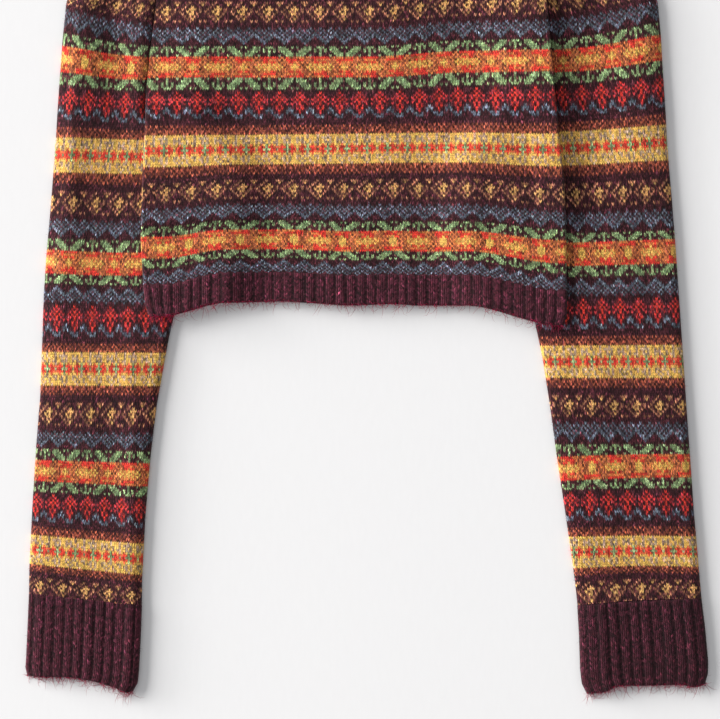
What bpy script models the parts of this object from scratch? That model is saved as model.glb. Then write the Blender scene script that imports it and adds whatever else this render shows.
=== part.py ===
"""Fair isle cardigan, laid flat on a surface with its back up and its sleeves drawn in under its sides.

Frame: metres, +Z up, the cloth rests on z = 0, and +Y runs from the hem to the neck. The garment's own
plan is drawn in millimetres from the point where the centre line meets the lower edge of the hem, and
the finished pieces are then moved together so that the origin is the middle of the plan.

Each piece of cloth is a closed wall between an outer and an inner grid of points. A row of a grid runs
across the garment and the rows follow each other along it. The sleeves are flattened tubes; the body's
side folds ride over them, so the back and the two fronts are lifted there.
"""

import math
from collections import namedtuple

import bmesh
import bpy

MM = 0.001

# ---- Cloth ---------------------------------------------------------------------------------------
WALL = 1.8  # one layer of the knit
LAYER_GAP = 0.6  # air between the two layers of a flattened tube
SEAM_GAP = 0.3  # between two pieces at a seam
SEAM_SLACK = 0.1  # more at a curved seam, where straight facets stray from the curve
FOLD_OUT = WALL + LAYER_GAP / 2  # outer radius of a fold
FOLD_IN = LAYER_GAP / 2  # inner radius of a fold
LAYERS = 2 * FOLD_OUT  # thickness of a flattened tube
PUFF = 1.0  # how far the upper layer of a sleeve stands up in its middle

# ---- Ribs ----------------------------------------------------------------------------------------
RIB_RISE = 0.7  # height of a rib over the ground of its band
HEM_RIBS = 41  # across the back
CUFF_RIBS = 12  # across the upper face of a cuff
NECK_RIBS = 18  # along the back of the neck
RIB_COLUMNS = 3  # low, high, high

# ---- Plan of the body ----------------------------------------------------------------------------
LEFT, RIGHT = -1, 1  # the wearer's left lies on -X, because the back is up
HEM_DEPTH = 26.0
ARMPIT = 184.0  # level of the underarm
SHOULDER = 335.0  # level of the shoulder point
NECK_SIDE = 377.0  # level of the high point of the shoulder
NECK_HALF = 62.0  # half the width of the neck
BACK_NECK_DEPTH = 14.0
NECKBAND = 20.0  # width of the neckband
Droop = namedtuple("Droop", "depth start run")
# How far the hem hangs lower at each side, the distance from the centre line where it starts to, and its run
HEM_DROOP = {LEFT: Droop(11.0, 108.0, 64.0), RIGHT: Droop(17.0, 95.0, 80.0)}
DROOP_TOP = 200.0  # level where the rows run level again
HEM_WAVE, WAVE_LENGTH, WAVE_SHIFT = 1.0, 150.0, 22.0  # the shallow wave along the hem

Edge = namedtuple("Edge", "level left right")
# Distance of the side fold, and above the underarm of the armhole seam, from the centre line
BODY_EDGES = [
    Edge(0.0, 171.0, 176.0),
    Edge(7.0, 175.0, 180.0),
    Edge(26.0, 177.5, 180.5),
    Edge(60.0, 180.0, 181.0),
    Edge(110.0, 178.6, 178.9),
    Edge(135.0, 177.0, 175.5),
    Edge(165.0, 176.0, 172.5),
    Edge(184.0, 176.0, 171.2),
    Edge(215.0, 173.0, 168.0),
    Edge(260.0, 167.5, 164.0),
    Edge(300.0, 164.0, 163.0),
    Edge(335.0, 165.0, 165.0),
]
HEM_LEVELS = [0.0, 7.0, 26.0]
FOLD_LEVELS = [26.0, 45.0, 80.0, 110.0, 135.0, 152.0, 165.0, 171.0, 177.0, 184.0]
SEAM_LEVELS = [188.0, 215.0, 245.0, 275.0, 300.0, 320.0, 333.0]

# ---- Button stand, on the face that lies down ----------------------------------------------------
BAND_HALF = 14.0  # half the width of a front band
BUTTON_RADIUS, BUTTON_THICK = 7.5, 2.3
BUTTONS, BUTTON_PITCH, LOWEST_BUTTON = 6, 60.0, 14.0
HOLE_BAND_Z = BUTTON_THICK + SEAM_GAP  # underside of the buttonhole band
BUTTON_BAND_Z = HOLE_BAND_Z + WALL + SEAM_GAP  # underside of the button band, which lies on it
RIDGE_EDGE = BAND_HALF + SEAM_GAP
FRONT_RAMP, BACK_RAMP = 35.0, 45.0  # over which a front, and the back, come down from the bands
BAND_BEDDING = 0.2  # how far the two bands press into each other's air gap
BACK_RIDGE = BUTTON_BAND_Z - BAND_BEDDING  # how far the bands lift the back
RIDGE_FADE_FROM, RIDGE_FADE_OVER = 350.0, 40.0  # above the bands the back sinks again

# ---- Where the body rides over a sleeve ----------------------------------------------------------
COVER_GAP = 0.6  # air between a sleeve and the front that lies over it
LIFT = LAYERS + PUFF + COVER_GAP
LIFT_RAMP = 22.0  # distance over which the cloth climbs on to the sleeve
LIFT_FULL = 165.0  # level below which the body lies right over the sleeve
LIFT_MARGIN = 1.0  # the full height is reached this far inside the sleeve's inner fold
FOLD_FLAT = 2.0  # shortest flat strip beside a side fold

# ---- Sleeves: X is the distance from the centre line on the sleeve's own side --------------------
Cap = namedtuple("Cap", "seam_level outer_x outer_y")
Station = namedtuple("Station", "outer_x outer_y inner_x inner_y")
SLEEVE_CAPS = {
    LEFT: [
        Cap(333.0, 178.0, 331.0),
        Cap(320.0, 205.0, 318.0),
        Cap(300.0, 226.0, 299.0),
        Cap(275.0, 238.0, 280.0),
        Cap(245.0, 244.2, 255.0),
        Cap(215.0, 247.2, 225.0),
        Cap(188.0, 249.2, 197.0),
    ],
    RIGHT: [
        Cap(333.0, 178.0, 332.0),
        Cap(320.0, 208.0, 323.0),
        Cap(300.0, 234.0, 308.0),
        Cap(275.0, 250.0, 287.0),
        Cap(245.0, 259.5, 256.0),
        Cap(215.0, 262.0, 228.0),
        Cap(188.0, 263.6, 199.0),
    ],
}
SLEEVE_TUBES = {
    LEFT: [
        Station(249.5, 193.0, 176.5, 184.0),
        Station(250.4, 180.0, 176.5, 171.0),
        Station(251.0, 172.0, 176.6, 163.0),
        Station(251.8, 159.0, 166.0, 150.0),
        Station(253.0, 140.0, 152.0, 133.0),
        Station(255.0, 112.0, 141.0, 108.0),
        Station(257.5, 80.0, 138.0, 78.0),
        Station(260.5, 47.0, 141.0, 43.0),
        Station(263.2, 8.0, 149.5, 2.0),
        Station(264.2, -22.0, 156.5, -28.0),
        Station(264.8, -40.0, 160.0, -47.0),
        Station(266.2, -78.0, 167.0, -86.0),
        Station(269.6, -121.0, 172.3, -130.0),
        Station(272.8, -170.0, 176.6, -180.0),
        Station(275.4, -224.0, 179.4, -234.0),
        Station(275.8, -246.0, 179.7, -256.0),
    ],
    RIGHT: [
        Station(264.0, 195.0, 171.7, 184.0),
        Station(264.8, 182.0, 172.4, 171.0),
        Station(265.3, 174.0, 173.2, 163.0),
        Station(266.2, 161.0, 162.0, 150.0),
        Station(267.0, 143.0, 148.0, 133.0),
        Station(269.0, 116.0, 141.0, 108.0),
        Station(271.8, 84.0, 139.5, 78.0),
        Station(274.6, 48.0, 143.0, 43.0),
        Station(277.6, 5.0, 151.0, 2.0),
        Station(279.6, -25.0, 157.5, -28.0),
        Station(280.9, -44.0, 161.5, -47.0),
        Station(283.4, -82.0, 167.5, -86.0),
        Station(286.6, -126.0, 173.4, -130.0),
        Station(290.0, -175.0, 181.0, -180.0),
        Station(294.6, -228.0, 188.6, -234.0),
        Station(296.6, -250.0, 191.0, -256.0),
    ],
}
CUFFS = {
    LEFT: [
        Station(275.8, -246.4, 179.7, -256.4),
        Station(276.8, -270.0, 180.6, -281.0),
        Station(278.2, -300.0, 182.2, -312.0),
        Station(278.8, -309.0, 183.4, -323.0),
        Station(277.0, -315.0, 186.8, -328.6),
    ],
    RIGHT: [
        Station(296.6, -250.4, 191.0, -256.4),
        Station(299.8, -276.0, 192.4, -281.0),
        Station(302.4, -305.0, 193.4, -311.0),
        Station(302.2, -316.0, 194.8, -323.0),
        Station(299.6, -324.0, 198.8, -330.6),
    ],
}

# ---- Facets --------------------------------------------------------------------------------------
SIDE_ARC = 3  # facets round a side fold, from the top to the seam
SHOULDER_ARC = 2
SLEEVE_TOP, SLEEVE_UNDER, INNER_ARC, OUTER_ARC = 8, 4, 2, 4
RIDGE_COLUMNS = [RIDGE_EDGE, 20.0, 27.0, 35.0, 43.0, 51.0, 57.0, 60.6, NECK_HALF]
FLAT_COLUMNS, RAMP_COLUMNS, COVER_COLUMNS = 4, 4, 3
BUTTON_SIDES = 20

WINE, RIB_WINE, HORN = (0.075, 0.024, 0.042), (0.085, 0.026, 0.047), (0.04, 0.02, 0.016)


# ---- Small helpers -------------------------------------------------------------------------------
def ease(t):
    """A smooth step from 0 to 1."""
    t = min(max(t, 0.0), 1.0)
    return t * t * (3.0 - 2.0 * t)


def between(a, b, t):
    return a + (b - a) * t


def read(rows, key, field, at):
    """The value of a field at one place in a table whose key rises, straight between its rows."""
    first = rows[0]
    if at <= getattr(first, key):
        return getattr(first, field)
    for low, high in zip(rows, rows[1:]):
        if at <= getattr(high, key):
            share = (at - getattr(low, key)) / (getattr(high, key) - getattr(low, key))
            return between(getattr(low, field), getattr(high, field), share)
    return getattr(rows[-1], field)


def steps(a, b, count):
    """The points that part a to b in equal steps, without a itself."""
    return [between(a, b, i / count) for i in range(1, count + 1)]


# ---- Heights and outlines of the body ------------------------------------------------------------
def edge_x(side, level):
    return read(BODY_EDGES, "level", "left" if side == LEFT else "right", level)


def row_y(x, level):
    """Where a row of the body lies at a distance from the centre line: it hangs lower at the sides."""
    side = LEFT if x < 0 else RIGHT
    share = max(0.0, 1.0 - level / DROOP_TOP)
    droop = HEM_DROOP[side]
    hang = droop.depth * ease((abs(x) - droop.start) / droop.run)
    wave = HEM_WAVE * (1.0 - math.cos(2.0 * math.pi * (x + WAVE_SHIFT) / WAVE_LENGTH))
    return level + share * (wave - hang)


def cover_start(side, y):
    """Distance from the centre line at which the body already lies on the sleeve."""
    inner = read(SLEEVE_TUBES[side][::-1], "inner_y", "inner_x", y)
    return min(inner - LIFT_MARGIN, edge_x(side, y) - FOLD_OUT - FOLD_FLAT)


def lift(x, y):
    """Height to which the sleeve under it lifts the body."""
    side = LEFT if x < 0 else RIGHT
    full = LIFT * (1.0 - ease((y - LIFT_FULL) / (ARMPIT - LIFT_FULL)))
    return full * ease((abs(x) - cover_start(side, y) + LIFT_RAMP) / LIFT_RAMP)


def front_under(x, y):
    """Underside of a front: on the surface, but lifted by a sleeve and, at the middle, by its band."""
    band = HOLE_BAND_Z if x > 0 else BUTTON_BAND_Z
    return band * (1.0 - ease((abs(x) - RIDGE_EDGE) / FRONT_RAMP)) + lift(x, y)


def back_under(x, y):
    """Underside of the back, which lies on the fronts and on their bands."""
    fade = 1.0 - ease((y - RIDGE_FADE_FROM) / RIDGE_FADE_OVER)
    ridge = BACK_RIDGE * (1.0 - ease((abs(x) - RIDGE_EDGE) / BACK_RAMP))
    return WALL + LAYER_GAP + ridge * fade + lift(x, y)


def shoulder_y(x):
    run = (abs(x) - NECK_HALF) / (BODY_EDGES[-1].left - NECK_HALF)
    return between(NECK_SIDE, SHOULDER, run)


def back_top(x):
    """Upper edge of the back: a shallow neckline between two sloping shoulders."""
    if abs(x) >= NECK_HALF:
        return shoulder_y(x)
    return NECK_SIDE - BACK_NECK_DEPTH * (1.0 - (x / NECK_HALF) ** 2)


def front_top(x):
    """Upper edge of a front: a round neckline, then the shoulder."""
    if abs(x) >= NECK_HALF:
        return shoulder_y(x)
    return NECK_SIDE - math.sqrt(NECK_HALF**2 - x**2)


# ---- Solids --------------------------------------------------------------------------------------
def link(name, mesh, colour, roughness=0.9):
    """Puts a mesh in the scene as one named sub-part with a material of its own."""
    material = bpy.data.materials.new(name)
    material.use_nodes = True
    shader = material.node_tree.nodes["Principled BSDF"]
    shader.inputs["Base Color"].default_value = (*colour, 1.0)
    shader.inputs["Roughness"].default_value = roughness
    shader.inputs["Metallic"].default_value = 0.0
    mesh.materials.append(material)
    piece = bpy.data.objects.new(name, mesh)
    bpy.context.scene.collection.objects.link(piece)
    return piece


def wall(name, outer, inner, colour, closed_from=None):
    """A closed wall between two grids of points in millimetres.

    From the row closed_from on, a row's last column is its first one, so that the wall is a tube there.
    """
    rows, columns = len(outer), len(outer[0])
    closed_from = rows if closed_from is None else closed_from
    bm = bmesh.new()

    def points(grid):
        made = []
        for number, row in enumerate(grid):
            line = [bm.verts.new([value * MM for value in point]) for point in row[:-1]]
            last = line[0] if number >= closed_from else bm.verts.new([v * MM for v in row[-1]])
            made.append([*line, last])
        return made

    out, inn = points(outer), points(inner)
    for i in range(rows - 1):
        for j in range(columns - 1):
            for grid in (out, inn):
                corners = [grid[i][j], grid[i][j + 1], grid[i + 1][j + 1], grid[i + 1][j]]
                bm.faces.new(corners if grid is out else corners[::-1])
        if i < closed_from:
            for j in (0, columns - 1):
                bm.faces.new([out[i][j], out[i + 1][j], inn[i + 1][j], inn[i][j]])
    for i in (0, rows - 1):
        for j in range(columns - 1):
            bm.faces.new([out[i][j], out[i][j + 1], inn[i][j + 1], inn[i][j]])
    bmesh.ops.triangulate(bm, faces=bm.faces[:])
    bmesh.ops.recalc_face_normals(bm, faces=bm.faces[:])
    mesh = bpy.data.meshes.new(name)
    bm.to_mesh(mesh)
    bm.free()
    return link(name, mesh, colour)


def rib(index):
    """Height of a rib's facets over the ground, column by column."""
    return 0.0 if index % RIB_COLUMNS == 0 else RIB_RISE


# ---- Body ----------------------------------------------------------------------------------------
def half_columns(side, level):
    """Distances from the centre line of one row's columns, from the band to where the fold starts."""
    fold = edge_x(side, level) - FOLD_OUT
    start = min(cover_start(side, row_y(side * fold, level)), fold - FOLD_FLAT)
    flat = steps(NECK_HALF, start - LIFT_RAMP, FLAT_COLUMNS)
    ramp = steps(start - LIFT_RAMP, start, RAMP_COLUMNS)
    return [*RIDGE_COLUMNS, *flat, *ramp, *steps(start, fold, COVER_COLUMNS)]


def side_fold(side, fold, y, base, folded, upward):
    """Outer and inner points round a side fold, from a flat layer to the side seam.

    base is the underside of the lower layer. Above the underarm the same points run straight on to the
    armhole seam.
    """
    sign = 1.0 if upward else -1.0
    middle = base + FOLD_OUT
    outer, inner = [], []
    for i in range(1, SIDE_ARC + 1):
        angle = math.pi / 2 * i / SIDE_ARC
        turn, rise = math.sin(angle), sign * math.cos(angle)
        if folded:
            seam = sign * SEAM_GAP / 2 if i == SIDE_ARC else 0.0
            outer.append((fold + FOLD_OUT * turn, middle + FOLD_OUT * rise + seam))
            inner.append((fold + FOLD_IN * turn, middle + FOLD_IN * rise + seam))
        else:
            run = fold + FOLD_OUT * i / SIDE_ARC
            outer.append((run, middle + sign * FOLD_OUT))
            inner.append((run, middle + sign * FOLD_IN))
    place = [(side * x, y, z) for x, z in outer]
    return place, [(side * x, y, z) for x, z in inner]


def panel_half(side, level, under, upward, top=None):
    """One half of a row of the back or of a front, from the band to the side, outer and inner points."""
    folded = level <= ARMPIT
    outer, inner = [], []

    def y_at(x):
        if level <= ARMPIT or top is None:
            return row_y(side * x, level)
        share = (level - ARMPIT) / (SHOULDER - ARMPIT)
        start = row_y(side * x, ARMPIT)
        return between(start, top(x) - FOLD_OUT, share)

    columns = half_columns(side, level)
    for x in columns:
        y = y_at(x)
        z = under(side * x, y)
        outer.append((side * x, y, z + WALL if upward else z))
        inner.append((side * x, y, z if upward else z + WALL))
    fold = columns[-1]
    y = y_at(fold)
    base = front_under(side * fold, y)
    more_out, more_in = side_fold(side, fold, y, base, folded, upward)
    return outer + more_out, inner + more_in


def shoulder_rows(outer, inner, top):
    """The last rows of a panel: a fold along the shoulder, and a plain edge along the neck."""
    made = []
    for i in range(1, SHOULDER_ARC + 1):
        angle = math.pi / 2 * i / SHOULDER_ARC
        row_out, row_in = [], []
        for (x, _, z_out), (_, _, z_in) in zip(outer, inner):
            start = top(x) - FOLD_OUT
            straight = start + FOLD_OUT * i / SHOULDER_ARC
            if abs(x) < NECK_HALF:
                row_out.append((x, straight, z_out))
                row_in.append((x, straight, z_in))
                continue
            upward = z_out > z_in
            sign = 1.0 if upward else -1.0
            middle = z_out - sign * FOLD_OUT
            seam = sign * SEAM_GAP / 2 if i == SHOULDER_ARC else 0.0
            turn, rise = math.sin(angle), sign * math.cos(angle)
            row_out.append((x, start + FOLD_OUT * turn, middle + FOLD_OUT * rise + seam))
            row_in.append((x, start + FOLD_IN * turn, middle + FOLD_IN * rise + seam))
        made.append((row_out, row_in))
    return made


def make_back():
    outer, inner = [], []
    for level in [*FOLD_LEVELS, *SEAM_LEVELS, SHOULDER]:
        left = panel_half(LEFT, level, back_under, True, back_top)
        right = panel_half(RIGHT, level, back_under, True, back_top)
        rows = []
        for half, other in ((left[0], right[0]), (left[1], right[1])):
            y = (half[0][1] + other[0][1]) / 2
            rows.append([*half[::-1], (0.0, y, half[0][2]), *other])
        outer.append(rows[0])
        inner.append(rows[1])
    for row_out, row_in in shoulder_rows(outer[-1], inner[-1], back_top):
        outer.append(row_out)
        inner.append(row_in)
    return wall("back", outer, inner, WINE)


def make_front(side):
    outer, inner = [], []
    for level in [*FOLD_LEVELS, *SEAM_LEVELS, SHOULDER]:
        row_out, row_in = panel_half(side, level, front_under, False, front_top)
        outer.append(row_out)
        inner.append(row_in)
    for row_out, row_in in shoulder_rows(outer[-1], inner[-1], front_top):
        outer.append(row_out)
        inner.append(row_in)
    return wall("front_left" if side == LEFT else "front_right", outer, inner, WINE)


def hem_level(level):
    """Leaves the seam open between a hem's upper edge and the panel above it."""
    return level - SEAM_GAP - SEAM_SLACK if level == HEM_DEPTH else level


def make_hem_back():
    outer, inner = [], []
    count = HEM_RIBS * RIB_COLUMNS
    for level in map(hem_level, HEM_LEVELS):
        folds = {side: edge_x(side, level) - FOLD_OUT for side in (LEFT, RIGHT)}
        flat_out, flat_in = [], []
        for i in range(count + 1):
            x = between(-folds[LEFT], folds[RIGHT], i / count)
            y = row_y(x, level)
            z = back_under(x, y)
            flat_out.append((x, y, z + WALL + rib(i)))
            flat_in.append((x, y, z))
        ends = {}
        for side in (LEFT, RIGHT):
            y = row_y(side * folds[side], level)
            base = front_under(side * folds[side], y)
            ends[side] = side_fold(side, folds[side], y, base, True, True)
        outer.append([*ends[LEFT][0][::-1], *flat_out, *ends[RIGHT][0]])
        inner.append([*ends[LEFT][1][::-1], *flat_in, *ends[RIGHT][1]])
    return wall("hem_back", outer, inner, RIB_WINE)


def make_hem_front(side):
    outer, inner = [], []
    for level in map(hem_level, HEM_LEVELS):
        row_out, row_in = panel_half(side, level, front_under, False)
        outer.append(row_out)
        inner.append(row_in)
    return wall("hem_front_left" if side == LEFT else "hem_front_right", outer, inner, RIB_WINE)


# ---- Neckband and front bands --------------------------------------------------------------------
def make_neckband_back():
    """Stands up from the back neckline; its ends lie over those of the front parts."""
    outer, inner = [], []
    count = NECK_RIBS * RIB_COLUMNS
    slope = math.hypot(BODY_EDGES[-1].left - NECK_HALF, NECK_SIDE - SHOULDER)
    tip_x = NECK_HALF - NECKBAND * (BODY_EDGES[-1].left - NECK_HALF) / slope
    tip_y = NECK_SIDE + NECKBAND * (NECK_SIDE - SHOULDER) / slope
    middle_y = NECK_SIDE - BACK_NECK_DEPTH + NECKBAND
    gap = SEAM_GAP + SEAM_SLACK
    for end in (0.0, 1.0):
        row_out, row_in = [], []
        for i in range(count + 1):
            s = between(-1.0, 1.0, i / count)
            seam = (NECK_HALF * s, back_top(NECK_HALF * s) + gap)
            free = (tip_x * s, between(middle_y, tip_y, s * s))
            x, y = between(seam[0], free[0], end), between(seam[1], free[1], end)
            z = back_under(x, y)
            row_out.append((x, y, z + WALL + rib(i)))
            row_in.append((x, y, z))
        outer.append(row_out)
        inner.append(row_in)
    return wall("neckband_back", outer, inner, RIB_WINE)


def make_neckband_front(side):
    """Follows the round front neckline from the front band to the shoulder, on the layer that lies down.

    Its columns are those of the front, so that the seam between them stays even.
    """
    outer, inner = [], []
    turns = [math.acos(x / NECK_HALF) for x in RIDGE_COLUMNS]
    for radius in (NECK_HALF - SEAM_GAP - SEAM_SLACK, NECK_HALF - NECKBAND):
        row_out, row_in = [], []
        sweep = math.acos(RIDGE_EDGE / radius)
        for turn in turns:
            angle = sweep * turn / turns[0]
            x, y = radius * math.cos(angle), NECK_SIDE - radius * math.sin(angle)
            z = front_under(side * x, y)
            row_out.append((side * x, y, z))
            row_in.append((side * x, y, z + WALL))
        outer.append(row_out)
        inner.append(row_in)
    return wall("neckband_front_left" if side == LEFT else "neckband_front_right", outer, inner, RIB_WINE)


def make_band(name, base):
    """A straight front band, from the hem to the top of the neckband."""
    radius = NECK_HALF - NECKBAND
    top = NECK_SIDE - math.sqrt(radius**2 - RIDGE_EDGE**2)
    levels = [row_y(0.0, 0.0), top / 2, top]
    columns = [-BAND_HALF, 0.0, BAND_HALF]
    outer = [[(x, y, base + WALL) for x in columns] for y in levels]
    inner = [[(x, y, base) for x in columns] for y in levels]
    return wall(name, outer, inner, RIB_WINE)


def make_button(number):
    """A flat round button with eased rims, face down on the surface."""
    ease_by = 0.5
    profile = [
        (BUTTON_RADIUS - ease_by, 0.0),
        (BUTTON_RADIUS, ease_by),
        (BUTTON_RADIUS, BUTTON_THICK - ease_by),
        (BUTTON_RADIUS - ease_by, BUTTON_THICK),
    ]
    y = LOWEST_BUTTON + number * BUTTON_PITCH
    bm = bmesh.new()
    rings = []
    for radius, z in profile:
        turn = [2.0 * math.pi * i / BUTTON_SIDES for i in range(BUTTON_SIDES)]
        ring = [(radius * math.cos(a), y + radius * math.sin(a), z) for a in turn]
        rings.append([bm.verts.new([v * MM for v in point]) for point in ring])
    for low, high in zip(rings, rings[1:]):
        for i in range(BUTTON_SIDES):
            j = (i + 1) % BUTTON_SIDES
            bm.faces.new([low[i], low[j], high[j], high[i]])
    bm.faces.new(rings[0][::-1])
    bm.faces.new(rings[-1])
    bmesh.ops.recalc_face_normals(bm, faces=bm.faces[:])
    name = f"button_{number + 1}"
    mesh = bpy.data.meshes.new(name)
    bm.to_mesh(mesh)
    bm.free()
    return link(name, mesh, HORN, 0.35)


# ---- Sleeves and cuffs ---------------------------------------------------------------------------
def section(side, inner_end, outer_end, closed, top_count, ribbed):
    """One row round a flattened tube, from its inner fold over the top to the outer fold and back.

    Above the underarm the row is open: its two ends lie at the armhole seam, one over the other.
    """
    width = math.dist(inner_end, outer_end)
    outer, inner = [], []

    def put(s_out, z_out, s_in, z_in):
        for grid, s, z in ((outer, s_out, z_out), (inner, s_in, z_in)):
            x = between(inner_end[0], outer_end[0], s / width)
            y = between(inner_end[1], outer_end[1], s / width)
            grid.append((side * x, y, z))

    def end_arc(sign):
        for i in range(INNER_ARC):
            share = (INNER_ARC - i) / INNER_ARC if sign > 0 else (i + 1) / INNER_ARC
            angle = math.pi / 2 * share
            if closed:
                turn, rise = math.sin(angle), sign * math.cos(angle)
                place_in = FOLD_OUT - FOLD_IN * turn, FOLD_OUT + FOLD_IN * rise
                put(FOLD_OUT * (1 - turn), FOLD_OUT * (1 + rise), *place_in)
            else:
                run = FOLD_OUT * (1 - share)
                put(run, FOLD_OUT * (1 + sign), run, FOLD_OUT + sign * FOLD_IN)

    end_arc(1.0)
    for i in range(top_count + 1):
        s = between(FOLD_OUT, width - FOLD_OUT, i / top_count)
        z = LAYERS + PUFF * math.sin(math.pi * s / width) ** 2
        put(s, z + (rib(i) if ribbed else 0.0), s, z - WALL)
    for i in range(1, OUTER_ARC):
        angle = math.pi * i / OUTER_ARC
        turn, rise = math.sin(angle), math.cos(angle)
        s = width - FOLD_OUT
        put(s + FOLD_OUT * turn, FOLD_OUT * (1 + rise), s + FOLD_IN * turn, FOLD_OUT + FOLD_IN * rise)
    for i in range(SLEEVE_UNDER + 1):
        s = between(width - FOLD_OUT, FOLD_OUT, i / SLEEVE_UNDER)
        put(s, 0.0, s, WALL)
    end_arc(-1.0)
    return outer, inner


def make_sleeve(side):
    outer, inner = [], []
    for cap in SLEEVE_CAPS[side]:
        seam = (edge_x(side, cap.seam_level) + SEAM_GAP, cap.seam_level)
        row_out, row_in = section(side, seam, (cap.outer_x, cap.outer_y), False, SLEEVE_TOP, False)
        outer.append(row_out)
        inner.append(row_in)
    for at in SLEEVE_TUBES[side]:
        ends = (at.inner_x, at.inner_y), (at.outer_x, at.outer_y)
        row_out, row_in = section(side, *ends, True, SLEEVE_TOP, False)
        outer.append(row_out)
        inner.append(row_in)
    name = "sleeve_left" if side == LEFT else "sleeve_right"
    return wall(name, outer, inner, WINE, closed_from=len(SLEEVE_CAPS[side]))


def make_cuff(side):
    outer, inner = [], []
    for at in CUFFS[side]:
        ends = (at.inner_x, at.inner_y), (at.outer_x, at.outer_y)
        row_out, row_in = section(side, *ends, True, CUFF_RIBS * RIB_COLUMNS, True)
        outer.append(row_out)
        inner.append(row_in)
    return wall("cuff_left" if side == LEFT else "cuff_right", outer, inner, RIB_WINE, closed_from=0)


# ---- Assembly ------------------------------------------------------------------------------------
def centre_on_origin(pieces):
    """Moves all the pieces together so that the middle of their plan is the origin."""
    points = [vertex.co for piece in pieces for vertex in piece.data.vertices]
    middle = [(min(p[i] for p in points) + max(p[i] for p in points)) / 2 for i in (0, 1)]
    for piece in pieces:
        piece.location = (-middle[0], -middle[1], 0.0)


def main():
    for old in list(bpy.data.objects):
        bpy.data.objects.remove(old, do_unlink=True)
    pieces = [make_back(), make_hem_back(), make_neckband_back()]
    for side in (LEFT, RIGHT):
        pieces += [make_front(side), make_hem_front(side), make_neckband_front(side)]
        pieces += [make_sleeve(side), make_cuff(side)]
    pieces.append(make_band("buttonhole_band", HOLE_BAND_Z))
    pieces.append(make_band("button_band", BUTTON_BAND_Z))
    pieces += [make_button(number) for number in range(BUTTONS)]
    centre_on_origin(pieces)


main()
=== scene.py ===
"""Looks of a fair isle cardigan that lies flat, face down, with its back up.

Every length in the tables is in millimetres on the garment's own plan: X from the centre line of the
back, Y up from the hem at the centre. A row is a course of the knit, counted down from the first row of
stars that shows; a wale is a column of stitches.
"""

from __future__ import annotations

import logging
import math
from dataclasses import dataclass, field
from enum import Enum, IntEnum
from typing import Callable, Sequence

import bmesh
import bpy
import numpy as np
from mathutils import Matrix, Vector

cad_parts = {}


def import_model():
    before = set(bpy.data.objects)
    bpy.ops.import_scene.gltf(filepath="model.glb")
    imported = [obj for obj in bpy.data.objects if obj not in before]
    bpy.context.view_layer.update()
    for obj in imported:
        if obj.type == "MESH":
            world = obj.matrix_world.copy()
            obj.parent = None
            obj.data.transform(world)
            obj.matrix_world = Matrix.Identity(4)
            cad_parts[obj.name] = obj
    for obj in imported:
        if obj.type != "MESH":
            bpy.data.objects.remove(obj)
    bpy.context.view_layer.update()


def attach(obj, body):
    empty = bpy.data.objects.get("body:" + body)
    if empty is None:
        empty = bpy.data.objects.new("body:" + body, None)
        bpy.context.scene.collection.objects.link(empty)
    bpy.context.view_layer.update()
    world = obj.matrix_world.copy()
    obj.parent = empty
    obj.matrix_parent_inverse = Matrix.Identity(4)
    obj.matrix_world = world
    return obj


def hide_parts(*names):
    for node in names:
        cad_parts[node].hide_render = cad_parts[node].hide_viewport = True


LOG = logging.getLogger("cardigan")

MM = 0.001
PIXEL = 0.85  # millimetres of cloth to one pixel of the picture's frame
HEM_PX = 304.0  # where the hem lies in that frame
PLAN_MIDDLE = (11.8, 26.976)  # how far the plan is moved so that its middle is the origin

WALL = 1.8
FOLD = 2.1  # outer radius of a fold
QUARTER = FOLD * math.pi / 2
LAYERS = 2 * FOLD
PUFF = 2.4  # how much higher a sleeve stands inside its folds
PUFF_RUNS = (18.0, 8.0)  # over what length its left and its right side rise
ARMPIT = 184.0
SHOULDER = 335.0
SHOULDER_HALF = 165.0
NECK_SIDE = 377.0
NECK_HALF = 62.0
NECK_DEPTH = 14.0
NECKBAND = 20.0
BAND_HALF = 14.0
BAND_EDGE = 14.3
HOLE_BAND_Z = 2.6
BUTTON_BAND_Z = 4.7
UNDERARM_EASE = 12.0  # over what height a sleeve's inner fold opens into the armhole seam

STITCH = 2.168  # width of a stitch of the body
DIP = 0.85  # how far the point of a stitch's V hangs down, in rows
FUZZ = 0.08  # share of its neighbours' yarn that lies over a stitch
GROOVE = 0.34  # depth of the groove between two wales
LOOSE = 0.05  # how unevenly the stitches stand up
ODD_SHARE = 0.12  # share of the stitches that are far darker, and as many far paler
ODD_DARK, ODD_PALE = -1.5, 1.3
ROW_SPREAD, TINT_SPREAD = 0.04, 0.05  # how uneven the rows and the tints of the yarn are
PALEST = 0.92  # no yarn is paler than this
PATTERN_TOP = -79  # the row at which the pattern starts

Array = np.ndarray
Colour = tuple[float, float, float]
Run = tuple[float, ...]
Table = tuple[Run, ...]


class Side(IntEnum):
    """The wearer's left lies on -X, because the back is up."""

    LEFT = -1
    RIGHT = 1

    @property
    def word(self) -> str:
        """The side's name as the pieces have it."""
        return self.name.lower()


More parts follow.
